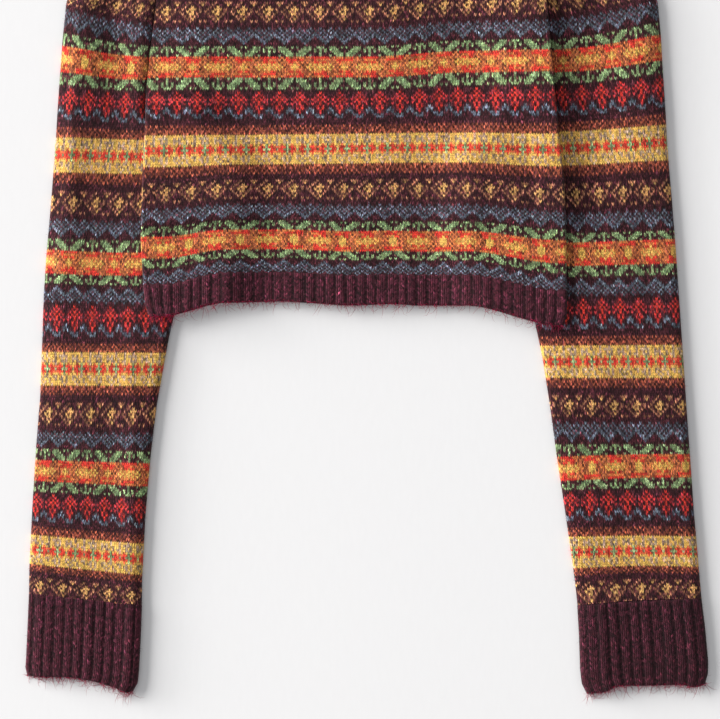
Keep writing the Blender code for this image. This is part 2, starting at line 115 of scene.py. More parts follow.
class Yarn(Enum):
    """A yarn's letter in the charts, its colour in display values from 0 to 1, and how uneven it is."""

    WINE = ("m", (0.232, 0.097, 0.124), 0.58)
    RIB_WINE = ("w", (0.242, 0.092, 0.134), 0.42)
    # painted shade: the rib's own wine, darkened where its stitches sink between two ribs
    SUNK_WINE = ("n", (0.160, 0.066, 0.090), 0.42)
    BLUE = ("b", (0.350, 0.385, 0.435), 0.52)
    GREEN = ("g", (0.515, 0.618, 0.430), 0.42)
    RUST = ("t", (0.565, 0.290, 0.212), 0.55)
    ORANGE = ("o", (0.860, 0.510, 0.285), 0.38)
    RED = ("r", (0.905, 0.255, 0.205), 0.40)
    CRIMSON = ("k", (0.755, 0.220, 0.235), 0.44)
    YELLOW = ("y", (0.985, 0.800, 0.405), 0.32)
    CORAL = ("q", (0.935, 0.450, 0.290), 0.38)
    STAR = ("s", (0.890, 0.685, 0.420), 0.38)
    DIM_STAR = ("d", (0.630, 0.425, 0.320), 0.48)
    BEIGE = ("e", (0.680, 0.580, 0.490), 0.40)

    @property
    def letter(self) -> str:
        """The yarn's letter in the charts."""
        return self.value[0]

    @property
    def light(self) -> Array:
        """The yarn's colour in linear light."""
        return linear(self.value[1])


def linear(colour: Sequence[float]) -> Array:
    """Turns display values into linear light.

    Args:
        colour: Three values from 0 to 1.

    Returns:
        The same colour in linear light.
    """
    c = np.asarray(colour, float)
    return np.where(c <= 0.04045, c / 12.92, ((c + 0.055) / 1.055) ** 2.4)


def smooth(t: Array | float) -> Array:
    """A smooth step from 0 to 1."""
    t = np.clip(t, 0.0, 1.0)
    return t * t * (3.0 - 2.0 * t)


def eased(value: Array | float, start: Array | float, run: float) -> Array:
    """A smooth step that begins at start and ends a run further on."""
    return smooth((value - start) / run)


def read(table: Table, at: Array | float) -> list[Array]:
    """Reads a table's columns at any place in its first one."""
    places, *columns = zip(*table)
    return [np.interp(at, places, column) for column in columns]


def plan_y(py: Array | float) -> Array:
    """Height on the plan of a line of the picture's frame."""
    return (HEM_PX - np.asarray(py, float)) * PIXEL


def place(x: Array, y: Array, z: Array) -> Array:
    """Puts points of the plan in the frame of the model.

    Args:
        x: Distances from the centre line.
        y: Heights above the hem.
        z: Heights above the surface that the garment lies on.

    Returns:
        An array of points, in metres.
    """
    x, y, z = np.broadcast_arrays(x, y, z)
    return np.stack([x - PLAN_MIDDLE[0], y - PLAN_MIDDLE[1], z], axis=-1) * MM


def linked(name: str, data: bpy.types.ID) -> bpy.types.Object:
    """Puts something in the scene.

    Args:
        name: Its name.
        data: A mesh, a lamp or a camera.

    Returns:
        The new object.
    """
    made = bpy.data.objects.new(name, data)
    bpy.context.scene.collection.objects.link(made)
    return made


def write_yarn(mesh: bpy.types.Mesh, sizes: Array, tones: Array, stitches: Array) -> None:
    """Writes a mesh's yarn colours and its stitch map, and smooths its faces.

    Args:
        mesh: The mesh.
        sizes: How many corners each face has.
        tones: One linear colour for each face.
        stitches: The stitch map's two values at each corner.
    """
    corners_map = mesh.uv_layers.new(name="Stitches")
    corners_map.data.foreach_set("uv", stitches.astype(np.float32).ravel())
    rgba = np.concatenate([np.repeat(tones, sizes, axis=0), np.ones((sizes.sum(), 1))], 1)
    layer = mesh.color_attributes.new("yarn", "FLOAT_COLOR", "CORNER")
    layer.data.foreach_set("color", np.clip(rgba, 0.0, 1.0).astype(np.float32).ravel())
    mesh.polygons.foreach_set("use_smooth", np.ones(len(sizes), bool))


# ---- The knitting pattern ------------------------------------------------------------------------
@dataclass(frozen=True)
class Band:
    """A band of the pattern, charted from its top row down.

    A full stop is the wine ground. An x is a tweed of orange and rust, a z one of yellow and orange, and
    a u is red with an orange stitch here and there.
    """

    chart: str
    centre: int = 0  # the stitch that lies on wale 0
    step: int = 1  # -1 turns the band upside down

    @property
    def rows(self) -> list[str]:
        """The band's rows, from the top down."""
        return self.chart.split()[:: self.step]

    def turned(self) -> "Band":
        """The same band upside down."""
        return Band(self.chart, self.centre, -self.step)


STARS = Band("""
d...d...dd
...d.....s
..d..s....
.d..sss.d.
d..s.s..d.
.d..ss.d..
..d.d.d...
...d.s....
d...d...d.
""", 5)
SCALLOPS = Band("""
..b...b.
.b.b.b.b
b.b.b.b.
bb.b.b.b
.bb.b.bb
..bb.bb.
...bbb..
....b...
""", 4)
LEAVES = Band("""
gg..ggg..g.g..ggg..g
g.g.gggg.....gggg.g.
g.g..gggg...gggg..g.
g.....gggg.gggg.....
g...g..ggg.ggg..g...
""")
ORANGES = Band("""
uuuuxxxuuuxuuuxxxuuu
uuuxxxxuuuuuuuxxxxuu
zuuxxxxxuuzuuxxxxxuu
zzzzzxxxxzyzxxxxzzzz
yyzzzzxxxyyyxxxzzzzy
zzzzzxxxxzyzxxxxzzzz
zuuxxxxxuuzuuxxxxxuu
uuuxxxxuuuuuuuxxxxuu
uuuuxxxuuuxuuuxxxuuu
""")
FLOWERS = Band("""
....r...
...k.k..
..k.r.k.
.k.r.r.k
..k.r.k.
.k..r..k
...r.k..
b..k.r..
bb..r..b
.b..k..b
..bb.b..
...bbb..
""", 4)
TWEED = Band("t.t. .t.t t.tt ttt.")
YELLOWS = Band("""
eyyyyyyyeyyyeyyy
eeyyeyeyeyyyeyee
yeyyeeeyyeyyeyye
eeyyeyeeyeyeeyye
gyqyyyqygyqyeyqy
grrqyqrrgrrqqqrr
ggrrgrrgggrrgrrg
grrqyqrrgrrqqqrr
gyqyyyqyeyqyyyqy
yeyyeeyeeyyeeyye
yeyyeyeyyeyyeyee
yeyyyeyeyeyyyyye
eyyyyyeyyyeyyyyy
""")


class Motif(Enum):
    """The bands that the pattern is made of."""

    STARS = STARS
    SCALLOPS = SCALLOPS
    LEAVES = LEAVES
    ORANGES = ORANGES
    LEAVES_DOWN = LEAVES.turned()
    PEAKS = SCALLOPS.turned()
    FLOWERS = FLOWERS
    TWEED = TWEED
    YELLOWS = YELLOWS
    TWEED_OUT = TWEED.turned()


# Each band with the plain rows that follow it
Round = tuple[tuple[Motif, int], ...]
SHORT_ROUND: Round = (
    (Motif.STARS, 2),
    (Motif.SCALLOPS, 1),
    (Motif.LEAVES, 0),
    (Motif.ORANGES, 0),
    (Motif.LEAVES_DOWN, 1),
    (Motif.FLOWERS, 3),
    (Motif.TWEED, 0),
    (Motif.YELLOWS, 0),
    (Motif.TWEED_OUT, 3),
)
LONG_ROUND: Round = (*SHORT_ROUND[:5], (Motif.PEAKS, 1), *SHORT_ROUND[5:])


@dataclass
class Chart:
    """The whole pattern of one piece, from its top row down."""

    rounds: tuple[Round, ...]
    phases: dict[Motif, int]
    lines: list[tuple[Motif | None, str]] = field(init=False)

    def __post_init__(self) -> None:
        """Writes the rounds out row by row."""
        self.lines = []
        for one in self.rounds:
            for motif, plain in one:
                self.lines += [(motif, line) for line in motif.value.rows]
                self.lines += [(None, ".")] * plain

    def letters(self, row: int, wales: Array) -> Array:
        """The yarns of one row.

        Args:
            row: The row's number.
            wales: The numbers of its stitches.

        Returns:
            One letter for each stitch.
        """
        at = row - PATTERN_TOP
        motif, line = self.lines[at] if 0 <= at < len(self.lines) else (None, ".")
        centre = motif.value.centre - self.phases.get(motif, 0) if motif else 0
        found = np.array(list(line))[(wales + centre) % len(line)]
        even = (wales + row) % 2 == 0
        some = np.sin(wales * 12.9 + row * 78.2) > 0.55
        for mark, where, yarn, other in (
            ("x", even, "o", "t"),
            ("z", even, "y", "o"),
            ("u", some, "o", "r"),
            (".", even, "m", "m"),
        ):
            found = np.where(found == mark, np.where(where, yarn, other), found)
        return found


# ---- Knitted meshes ------------------------------------------------------------------------------
@dataclass
class Course:
    """One row of a knitted mesh: half stitches counted along it, and where each one lies."""

    halves: Array
    points: Array
    row: float


@dataclass
class Knit:
    """Collects the courses of a knitted piece and makes its mesh, with one face to each leg of a stitch."""

    name: str
    seed: int
    paint: Callable[[int, Array], Array]
    flip: bool = False
    # painted shade: a factor that darkens all the piece's colours, standing in for shade
    shade: float = 1.0
    strips: list[list[Course]] = field(default_factory=list)

    def strip(self, courses: list[Course]) -> None:
        """Adds a run of courses, each one joined to the next."""
        self.strips.append(courses)

    @staticmethod
    def zip_ends(a: list[tuple[float, int]], b: list[tuple[float, int]]) -> list[tuple[int, int, int]]:
        """Fills the gap between the uneven ends of two courses with triangles.

        Args:
            a: The half-stitch number and vertex of each point of the first course's end, in order.
            b: The same for the second course.

        Returns:
            Triangles as triples of vertices.
        """
        made, i, j = [], 0, 0
        while i < len(a) - 1 or j < len(b) - 1:
            step_a = j == len(b) - 1 or (i < len(a) - 1 and a[i + 1][0] <= b[j + 1][0])
            if step_a:
                made.append((a[i][1], a[i + 1][1], b[j][1]))
                i += 1
            else:
                made.append((a[i][1], b[j + 1][1], b[j][1]))
                j += 1
        return made

    def faces(self) -> tuple[Array, Array, Array, list[tuple[int, ...]], list[tuple[int, float]]]:
        """Lays the courses out as one mesh.

        Returns:
            The points, the half-stitch number and the row of each, the faces, and each face's row and
            middle half stitch.
        """
        points, halves, rows, faces, marks = [], [], [], [], []
        known: dict[tuple[float, float, float], int] = {}

        def vertex(course: Course, at: int) -> int:
            """Finds or adds a vertex, which two strips share where they meet.

            Args:
                course: The course that it is on.
                at: Its place in the course.

            Returns:
                Its number.
            """
            spot = tuple(np.round(course.points[at], 8))
            if spot not in known:
                known[spot] = len(points)
                points.append(course.points[at])
                halves.append(course.halves[at])
                rows.append(course.row)
            return known[spot]

        def join(made: list[tuple[int, ...]], row: int, half: float) -> None:
            """Keeps faces that all have one row and one middle half stitch."""
            faces.extend(made)
            marks.extend([(row, half)] * len(made))

        for courses in self.strips:
            lines = [[(float(h), vertex(c, n)) for n, h in enumerate(c.halves)] for c in courses]
            for course, a, b in zip(courses, lines, lines[1:]):
                whole_a = {h: n for n, (h, _) in enumerate(a) if h == round(h)}
                whole_b = {h: n for n, (h, _) in enumerate(b) if h == round(h)}
                both = sorted(whole_a.keys() & whole_b.keys())
                row = math.floor(course.row + 1e-6)
                if not both:
                    join(self.zip_ends(a, b), row, a[0][0])
                    continue
                low, high = both[0], both[-1]
                join(self.zip_ends(a[: whole_a[low] + 1], b[: whole_b[low] + 1]), row, low - 0.5)
                for h in both[:-1]:
                    i, j = whole_a[h], whole_b[h]
                    join([(a[i][1], a[i + 1][1], b[j + 1][1], b[j][1])], row, h + 0.5)
                join(self.zip_ends(a[whole_a[high] :], b[whole_b[high] :]), row, high + 0.5)
        return np.array(points), np.array(halves), np.array(rows), faces, marks

    def colours(self, marks: list[tuple[int, float]]) -> Array:
        """The colour of each face, with the unevenness of the yarn in it and the piece's painted shade.

        Args:
            marks: Each face's row and middle half stitch.

        Returns:
            One linear colour for each face.
        """
        rng = np.random.default_rng(self.seed)
        rows = np.array([m[0] for m in marks])
        wales = np.floor(np.array([m[1] for m in marks]) / 2).astype(int)
        letters = np.empty(len(marks), "<U1")
        for row in np.unique(rows):
            here = rows == row
            letters[here] = self.paint(int(row), wales[here])
        light = {yarn.letter: yarn.light for yarn in Yarn}
        spread = {yarn.letter: yarn.value[2] for yarn in Yarn}
        base = np.array([light[letter] for letter in letters])
        uneven = np.array([spread[letter] for letter in letters])
        across = np.arange(wales.min() - 1, wales.max() + 2)
        chart = [self.paint(int(row), across) for row in range(rows.min() - 1, rows.max() + 2)]
        grid = np.array([[light[letter] for letter in line] for line in chart])
        r, w = rows - rows.min() + 1, wales - wales.min() + 1
        beside = (grid[r - 1, w] + grid[r + 1, w] + grid[r, w - 1] + grid[r, w + 1]) / 4.0
        base = base * (1.0 - FUZZ) + beside * FUZZ
        fleck = rng.random(len(marks))
        odd = np.select([fleck < ODD_SHARE, fleck > 1.0 - ODD_SHARE], [ODD_DARK, ODD_PALE], 0.0)
        tone = np.exp((rng.normal(0.0, 1.0, len(marks)) + odd) * uneven)
        row_tone = np.exp(rng.normal(0.0, ROW_SPREAD, np.ptp(rows) + 1))[rows - rows.min()]
        tint = np.exp(rng.normal(0.0, TINT_SPREAD, (len(marks), 3)))
        # the piece's painted shade darkens every colour
        colour = base * (tone * row_tone * self.shade)[:, None] * tint
        return colour * np.minimum(1.0, PALEST / colour.max(axis=1))[:, None]

    def build(self) -> bpy.types.Object:
        """Makes the piece, with its stitch map, its spread-out map and its yarn colours.

        Returns:
            The new object.
        """
        points, halves, rows, faces, marks = self.faces()
        if self.flip:
            faces = [f[::-1] for f in faces]
        mesh = bpy.data.meshes.new(self.name)
        mesh.from_pydata(points.tolist(), [], faces)
        loops = np.zeros(len(mesh.loops), np.int32)
        mesh.loops.foreach_get("vertex_index", loops)
        spread = (halves - halves.min()) / np.ptp(halves), (rows.max() - rows) / np.ptp(rows)
        bake = mesh.uv_layers.new(name="OFBake")
        bake.data.foreach_set("uv", np.stack([s[loops] for s in spread], 1).astype(np.float32).ravel())
        sizes = np.array([len(f) for f in faces])
        write_yarn(mesh, sizes, self.colours(marks), np.stack([halves[loops] / 2, rows[loops]], 1))
        mesh.uv_layers.active = mesh.uv_layers["OFBake"]
        mesh.update()
        LOG.info("%s: %d faces of knit", self.name, len(faces))
        return linked(f"{self.name}_knit", mesh)

    def cut(self) -> tuple[float, float, float]:
        """The piece's width, length and area when flat, measured along its stitches.

        Returns:
            Metres, metres and square metres.
        """
        width, area, lengths = 0.0, 0.0, []
        for courses in self.strips:
            lengths.append(0.0)
            grooves = [course.points[course.halves % 2 == 0] for course in courses]
            across = [float(np.linalg.norm(np.diff(g, axis=0), axis=1).sum()) for g in grooves]
            for n, (a, b) in enumerate(zip(courses, courses[1:])):
                shared = np.intersect1d(a.halves[a.halves % 2 == 0], b.halves[b.halves % 2 == 0])
                ends = (c.points[np.isin(c.halves, shared)] for c in (a, b))
                step = float(np.linalg.norm(np.subtract(*ends), axis=1).mean())
                lengths[-1] += step
                area += step * (across[n] + across[n + 1]) / 2.0
            width = max(width, *across)
        length = lengths[-1] + max(lengths[:-1], default=0.0)
        return width, length, min(area, width * length)

    def make(self, wardrobe: "Wardrobe", finish: "KnitFinish") -> bpy.types.Object:
        """Builds and dresses the piece, with its loose fibres, and states how it was cut.

        Args:
            wardrobe: The finishes.
            finish: The finish that it wears.

        Returns:
            The new object.
        """
        piece = wardrobe.dress(self.build(), finish, self.name)
        fuzz = FIBRES.get(self.name)
        loose = [fuzz.build(piece, f"{self.name}_fibres", self.seed, wardrobe, finish)] if fuzz else []
        width, length, area = self.cut()
        LOG.info("%s: cut %.0f x %.0f mm, %.4f square metres", self.name, width / MM, length / MM, area)
        return piece


@dataclass(frozen=True)
class Fibres:
    """Loose fibres that stand off a knitted piece, as thin closed slivers."""

    on_top: int
    on_edge: int
    on_rim: int = 0  # along a free edge, past its last row
    last_row: int = 0
    top_length: tuple[float, float] = (1.4, 4.2)
    edge_length: tuple[float, float] = (1.2, 5.0)
    rim_length: tuple[float, float] = (1.6, 15.0)
    radius: float = 0.065
    rim_radius: float = 0.17
    shortness: float = 3.2  # the higher, the fewer long ones
    curl: float = 0.7  # how far it bends from one third of its length to the next, in radians
    lowest: float = 0.25  # no part of it is nearer the floor
    brighter: float = 0.8  # its colour to its yarn's, before the tint is added
    tint: Colour = (0.02, 0.016, 0.015)
    # red added to the fibres past a free edge: painted light, standing in for the glow of lit wine fibres
    rim_tint: Colour = (0.24, 0.0, 0.03)

    def build(
        self, piece: bpy.types.Object, name: str, seed: int, wardrobe: "Wardrobe", finish: "KnitFinish"
    ) -> bpy.types.Object:
        """Makes the fibres of one piece: each one has three sides, four rings and two bends.

        Args:
            piece: The knitted piece.
            name: The fibres' own name.
            seed: What their places are drawn from.
            wardrobe: The finishes.
            finish: The finish of the knit.

        Returns:
            The new object.
        """
        mesh, rng = piece.data, np.random.default_rng(seed + 900)
        count = len(mesh.polygons)
        centres, normals, firsts = np.zeros(count * 3), np.zeros(count * 3), np.zeros(count, np.int32)
        mesh.polygons.foreach_get("center", centres)
        mesh.polygons.foreach_get("normal", normals)
        mesh.polygons.foreach_get("loop_start", firsts)
        centres, normals = centres.reshape(-1, 3), normals.reshape(-1, 3)
        yarn = np.zeros(len(mesh.loops) * 4)
        mesh.color_attributes["yarn"].data.foreach_get("color", yarn)
        yarn = yarn.reshape(-1, 4)[firsts, :3]
        stitches = np.zeros(len(mesh.loops) * 2)
        mesh.uv_layers["Stitches"].data.foreach_get("uv", stitches)
        row = stitches.reshape(-1, 2)[firsts, 1]
        top = np.flatnonzero(normals[:, 2] > 0.8)
        edge = np.flatnonzero((normals[:, 2] < 0.6) & (normals[:, 2] > -0.3) & (centres[:, 2] > 1.0 * MM))
        rim = edge[:1]
        if self.on_rim:
            rim = np.flatnonzero((row > self.last_row - 0.5) & (row < self.last_row + 2.5))
        places = ((top, self.on_top), (edge, self.on_edge), (rim, self.on_rim))
        roots = np.concatenate([rng.choice(where, many) for where, many in places])
        at_rim = np.arange(len(roots)) >= self.on_top + self.on_edge
        at_edge = np.arange(len(roots)) >= self.on_top
        lengths = zip(self.rim_length, self.edge_length, self.top_length)
        low, high = (np.select([at_rim, at_edge], [rim_one, edge_one], top_one)
                     for rim_one, edge_one, top_one in lengths)
        length = (low + (high - low) * rng.random(len(roots)) ** self.shortness) * MM
        heading = np.where(at_edge, np.arctan2(normals[roots, 1], normals[roots, 0]), 0.0)
        heading = np.where(at_rim, -math.pi / 2, heading)
        heading = heading + rng.normal(0.0, np.where(at_edge, 0.75, 6.0))
        spot = centres[roots] + normals[roots] * 0.05 * MM
        bend = rng.normal(0.0, self.curl, len(roots))
        climb = np.where(at_edge, rng.normal(-0.15, 0.25, len(roots)), rng.uniform(0.08, 0.3, len(roots)))
        points, ring = [], 2.0 * math.pi * np.arange(3) / 3.0
        for n, share in enumerate((1.0, 0.9, 0.6, 0.0)):
            side = np.stack([-np.sin(heading), np.cos(heading), np.zeros(len(roots))], 1)
            thick = np.where(at_rim, self.rim_radius, self.radius) * MM * share
            radius = thick * rng.uniform(0.7, 1.3, len(roots))
            for angle in ring[: 3 if share else 1]:
                at = spot + side * (radius * math.cos(angle))[:, None]
                at[:, 2] += radius * math.sin(angle)
                points.append(at)
            ahead = np.stack([np.cos(heading), np.sin(heading), climb * (1.0, -0.2, -1.0, 0.0)[n]], 1)
            spot = spot + ahead * (length / 3.0)[:, None]
            spot[:, 2] = np.maximum(spot[:, 2], self.lowest * MM)
            heading = heading + bend
        table = np.stack(points, 1)
        sides = [(k, (k + 1) % 3) for k in range(3)]
        quads = [(a + k, a + j, a + 3 + j, a + 3 + k) for a in (0, 3) for k, j in sides]
        shape = [*quads, *((6 + k, 6 + j, 9) for k, j in sides), (2, 1, 0)]
        faces = [tuple(10 * n + v for v in face) for n in range(len(roots)) for face in shape]
        # at a free edge the fibres get red painted light added to their colour
        tint = np.where(at_rim[:, None], self.rim_tint, self.tint)
        tones = np.repeat(yarn[roots] * self.brighter + tint, len(shape), axis=0)
        return yarn_piece(wardrobe, finish, name, table.reshape(-1, 3), faces, tones)


WINE_TINT = (0.008, 0.0, 0.002)
FIBRES = {
    "back": Fibres(1500, 40),
    "sleeve_left": Fibres(900, 160),
    "sleeve_right": Fibres(900, 160),
    "hem_back": Fibres(420, 30, 700, 13, tint=WINE_TINT),
    "cuff_left": Fibres(380, 50, 420, 37, tint=WINE_TINT),
    "cuff_right": Fibres(380, 50, 400, 37, tint=WINE_TINT),
}


# ---- Creases -------------------------------------------------------------------------------------
@dataclass(frozen=True)
class Crease:
    """A soft ridge, or a trough where its rise is below nought.

    The angle is in degrees from the Y axis towards +X.
    """

    x: float
    y: float
    length: float
    width: float
    rise: float
    angle: float

    def height(self, x: Array, y: Array) -> Array:
        """How far the cloth stands up.

        Args:
            x: Distances from the centre line.
            y: Heights above the hem.

        Returns:
            Heights.
        """
        turn = math.radians(self.angle)
        along = (x - self.x) * math.sin(turn) + (y - self.y) * math.cos(turn)
        across = (x - self.x) * math.cos(turn) - (y - self.y) * math.sin(turn)
        fade = np.clip(1.0 - (2.0 * along / self.length) ** 2, 0.0, 1.0) ** 1.5
        return self.rise * np.exp(-((across / self.width) ** 2)) * fade


def creased(creases: Table, x: Array, y: Array) -> Array:
    """The sum of some creases.

    Args:
        creases: The sizes of each one.
        x: Distances from the centre line.
        y: Heights above the hem.

    Returns:
        Heights.
    """
    total = np.zeros(np.broadcast(x, y).shape)
    for sizes in creases:
        total = total + Crease(*sizes).height(x, y)
    return total


# ---- The plan of the garment ---------------------------------------------------------------------
@dataclass(frozen=True)
class SleevePlan:
    """The outline of one sleeve and how its rows and wales run across it.

    The outline gives distances from the centre line at rising heights. Each row station is a row with
    its place at the outer fold, at the inner side and its bow, in the picture's frame. Each wale station
    is a row with the distance of wale 0 from the outer fold and the width of a stitch, in millimetres.
    """

    side: Side
    outer: Table
    inner: Table
    rows: Table
    wales: Table
    cuff: Table
    phases: dict[Motif, int]

    def outer_x(self, y: Array) -> Array:
        """Distance of the outer fold from the centre line."""
        return read(self.outer, y)[0]

    def inner_x(self, y: Array) -> Array:
        """Distance of the inner fold, or above the underarm of the armhole seam."""
        return np.where(y > ARMPIT, BODY.edge(self.side, y) + 0.3, read(self.inner, y)[0])

    def row_ends(self, row: Array) -> tuple[Array, Array, Array, Array, Array]:
        """Where a row ends.

        Args:
            row: Row numbers.

        Returns:
            The outer end's x and y, the inner end's x and y, and the bow between them.
        """
        outer, inner, bow = read(self.rows, row)
        oy, iy = plan_y(outer), plan_y(inner)
        return self.outer_x(oy), oy, self.inner_x(iy), iy, -bow * PIXEL

    def wale_zero(self, row: Array) -> tuple[Array, Array]:
        """The arc length from the outer fold to wale 0, and the width of a stitch."""
        zero, width = read(self.wales, row)
        return zero + QUARTER - FOLD, width


@dataclass(frozen=True)
class BodyPlan:
    """The outline of the body, the run of its rows and the heights of its layers."""

    # How far each side fold, and above the underarm each armhole seam, lies from the centre line
    levels: Run = (0, 7, 26, 60, 110, 135, 165, 184, 215, 260, 300, 335)
    left: Run = (172.5, 175.5, 178, 180, 178.6, 177, 176, 176, 173, 167.5, 164, 165)
    right: Run = (178.5, 181, 181.3, 181, 178.9, 175.5, 172.5, 171.2, 168, 164, 163, 165)
    # Where each row lies, in pixels of the picture's frame
    row_at: Run = (-67, 0, 4.5, 11, 20, 25, 34, 40, 55, 59, 72, 76, 79, 83.5, 90, 99, 104, 113, 119, 128)
    row_py: Run = (-149, 2.2, 12.2, 28.1, 47, 57, 78, 92.3, 125.3, 134.8, 164.4, 174.6, 180, 189, 204, 221,
                   230, 250, 260, 275)
    # How far a row hangs lower at each side than in the middle, in pixels of the picture's frame
    drop_at: Run = (-80, 0, 20, 70, 100, 128, 150, 170, 190, 212, 240, 258, 272, 302)
    drop_left: Run = (0, 0, 0, 0, 0, 0, 0, 2, 3, 5, 7.5, 9.5, 11, 12.94)
    drop_right: Run = (-2, -7.4, -7, -5.6, -4, -1, 1, 2.5, 5.5, 6.5, 10.5, 13, 15, 20)
    wale_zero: float = -92.7
    wave: float = 1.98  # how far the hem stood over its lowest line where the rows were measured
    # The hem's wave: pixels below its height left of the middle
    wave_at: Run = (-145, -92, -67, -55, -43, -31, -20, -8, 4, 16, 28, 40, 52, 88, 140)
    wave_py: Run = (0.8, 0, -1, -1, 0, 1, 2, 3, 3.2, 2.4, 1.6, 2, 3, 3, 3)
    wave_top: float = 120.0  # height at which the wave has died out
    # How the rows half way up bow: pixels below their height in an even run
    bow_at: Run = (-170, -138, -104, -70, -36, -3, 31, 65, 100, 133, 167)
    bow_py: Run = (2, 1.8, 1, 0, -0.3, -0.7, -1.5, -1.8, -1.5, 0, 0.6)
    bow_middle: float = 126.0
    bow_run: float = 38.0
    # How far the wales are pushed aside, in millimetres, and how much more below the lower stars
    drift_at: Run = (-180, -92, -71, -45, -20, -6, 40, 61, 81, 102, 125, 146, 167, 190)
    drift: Run = (0, 0, 0, 0, 0, -1.3, -1.7, -2.5, -3.4, -5.1, -7.3, -8.5, -8.9, -8.9)
    drift_low: Run = (-2.9, -2.9, -1.1, -0.4, -0.6, -1.9, -1.7, -0.9, -0.6, -2.1, -1, 0, 0.9, 0.9)
    low_stars: Run = (-76, 14)  # from what height down the lower push sets in, and over what length
    drift_fades: Run = (212, 105)
    lift_full: float = 165.0  # up to where the sleeves lift the body fully
    lift_height: float = LAYERS + PUFF + 0.2
    slack: float = 34.0  # how far past the sleeves the back comes down
    slack_ramp: float = 42.0
    band_ease: float = 35.0  # over what length each front comes down beside its band
    ridge: float = BUTTON_BAND_Z - 1.7  # how high the back stands over the bands
    slack_ridge: float = 110.0
    ridge_ends: Run = (350, 40)
    # Where the rows begin to hang lower at each side, and over what length: left, right above, right below
    hang_left: Run = (108, 54)
    hang_right_high: Run = (15, 80)
    hang_right_low: Run = (95, 80)
    # How high the back stands over the sleeve at the armhole, and where that starts, ends and flattens
    # out: where there are two, the left is first
    step_high: float = 9.6
    step_starts: tuple[Run, Run] = ((160, 24), (24, 60))
    step_ends: Run = (268, 66)
    step_inner: Run = (40, 2)
    step_run: float = 70.0

    def edge(self, side: int, level: Array | float) -> Array:
        """Distance of the side fold, or of the armhole seam, from the centre line."""
        return np.interp(level, self.levels, self.left if side == Side.LEFT else self.right)

    def base(self, row: Array | float) -> Array:
        """Height of a row where it was measured, left of the middle."""
        return plan_y(np.interp(row, self.row_at, self.row_py))

    def line(self, x: Array, base: Array) -> Array:
        """Height of a row at a distance from the centre line.

        Args:
            x: Distances from the centre line.
            base: The row's own height where it was measured.

        Returns:
            Heights above the hem.
        """
        py = HEM_PX - base / PIXEL
        left = np.interp(py, self.drop_at, self.drop_left)
        right = np.interp(py, self.drop_at, self.drop_right)
        on_right = np.where(right < 0, eased(x, *self.hang_right_high), eased(x, *self.hang_right_low))
        drop = np.where(x < 0, left * eased(-x, *self.hang_left), right * on_right)
        share = np.clip(1.0 - base / self.wave_top, 0.0, 1.05)
        near = np.exp(-(((base - self.bow_middle) / self.bow_run) ** 2))
        bow = near * np.interp(x, self.bow_at, self.bow_py)
        return base - PIXEL * (share * np.interp(x, self.wave_at, self.wave_py) + bow + drop)

    def pushed(self, nominal: Array | float, base: float) -> Array:
        """Where a wale's nominal place is pushed to.

        Args:
            nominal: Distances from the centre line as if all stitches were even.
            base: The row's own height.

        Returns:
            Distances from the centre line.
        """
        low = float(eased(-base, *self.low_stars))
        fade = 1.0 - float(eased(base, *self.drift_fades))
        aside = np.interp(nominal, self.drift_at, self.drift)
        aside = aside + low * np.interp(nominal, self.drift_at, self.drift_low)
        return nominal + aside * fade

    def unpushed(self, x: float, base: float) -> float:
        """The nominal place that is pushed to a distance from the centre line."""
        places = np.arange(-200.0, 200.5, 0.5)
        return float(np.interp(x, self.pushed(places, base), places))

    def level(self, base: Array) -> Array:
        """The level that a row has in the outline's table."""
        return base - self.wave * np.clip(1.0 - base / 200.0, 0.0, 1.0)

    def lift(self, x: Array, y: Array, slack: float = 0.0, ramp: float = 22.0) -> Array:
        """How far the sleeves lift the body that lies on them.

        Args:
            x: Distances from the centre line.
            y: Heights above the hem.
            slack: How far past the sleeve the body stays up.
            ramp: Over what length it comes down.

        Returns:
            Heights.
        """
        total = np.zeros(np.broadcast(x, y).shape)
        for side in Side:
            inner = read(SLEEVES[side].inner, y)[0]
            start = np.minimum(inner - 1.0, self.edge(side, y) - FOLD - 2.0) - slack
            full = self.lift_height * (1.0 - eased(y, self.lift_full, ARMPIT - self.lift_full))
            here = full * smooth((np.abs(x) - start + ramp) / ramp)
            total = np.where(x * side > 0, here, total)
        return total

    def step(self, x: Array, y: Array) -> Array:
        """How far the back stands over the sleeve at the armhole, higher on the right.

        Args:
            x: Distances from the centre line.
            y: Heights above the hem.

        Returns:
            Heights.
        """
        left = x < 0
        inward = np.where(left, self.edge(Side.LEFT, y), self.edge(Side.RIGHT, y)) - np.abs(x)
        rounded = 0.8 + 2.4 * eased(inward, 0.0, 38.0)
        starts = np.where(left, *(eased(y, *start) for start in self.step_starts))
        high = np.where(left, rounded, self.step_high) * (1.0 - eased(y, *self.step_ends)) * starts
        return high * (1.0 - eased(inward, np.where(left, *self.step_inner), self.step_run))

    def side_drop(self, x: Array, y: Array) -> Array:
        """How far the back falls at its side to meet what lies under it."""
        return np.maximum(self.step(x, y) - self.lift(x, y) - 0.4, 0.0)

    def front_under(self, x: Array, y: Array) -> Array:
        """Underside of a front."""
        band = np.where(x > 0, HOLE_BAND_Z, BUTTON_BAND_Z)
        return band * (1.0 - eased(np.abs(x), BAND_EDGE, self.band_ease)) + self.lift(x, y)

    def back_top(self, x: Array, y: Array) -> Array:
        """The upper face of the back.

        Args:
            x: Distances from the centre line.
            y: Heights above the hem.

        Returns:
            Heights.
        """
        fade = 1.0 - eased(y, *self.ridge_ends)
        ridge = self.ridge * (1.0 - eased(np.abs(x), BAND_EDGE, self.slack_ridge))
        raised = np.maximum(self.lift(x, y, self.slack, self.slack_ramp), self.step(x, y))
        return LAYERS + ridge * fade + raised

    def shoulder(self, x: Array) -> Array:
        """Height of the shoulder line."""
        return NECK_SIDE - (np.abs(x) - NECK_HALF) / (SHOULDER_HALF - NECK_HALF) * (NECK_SIDE - SHOULDER)

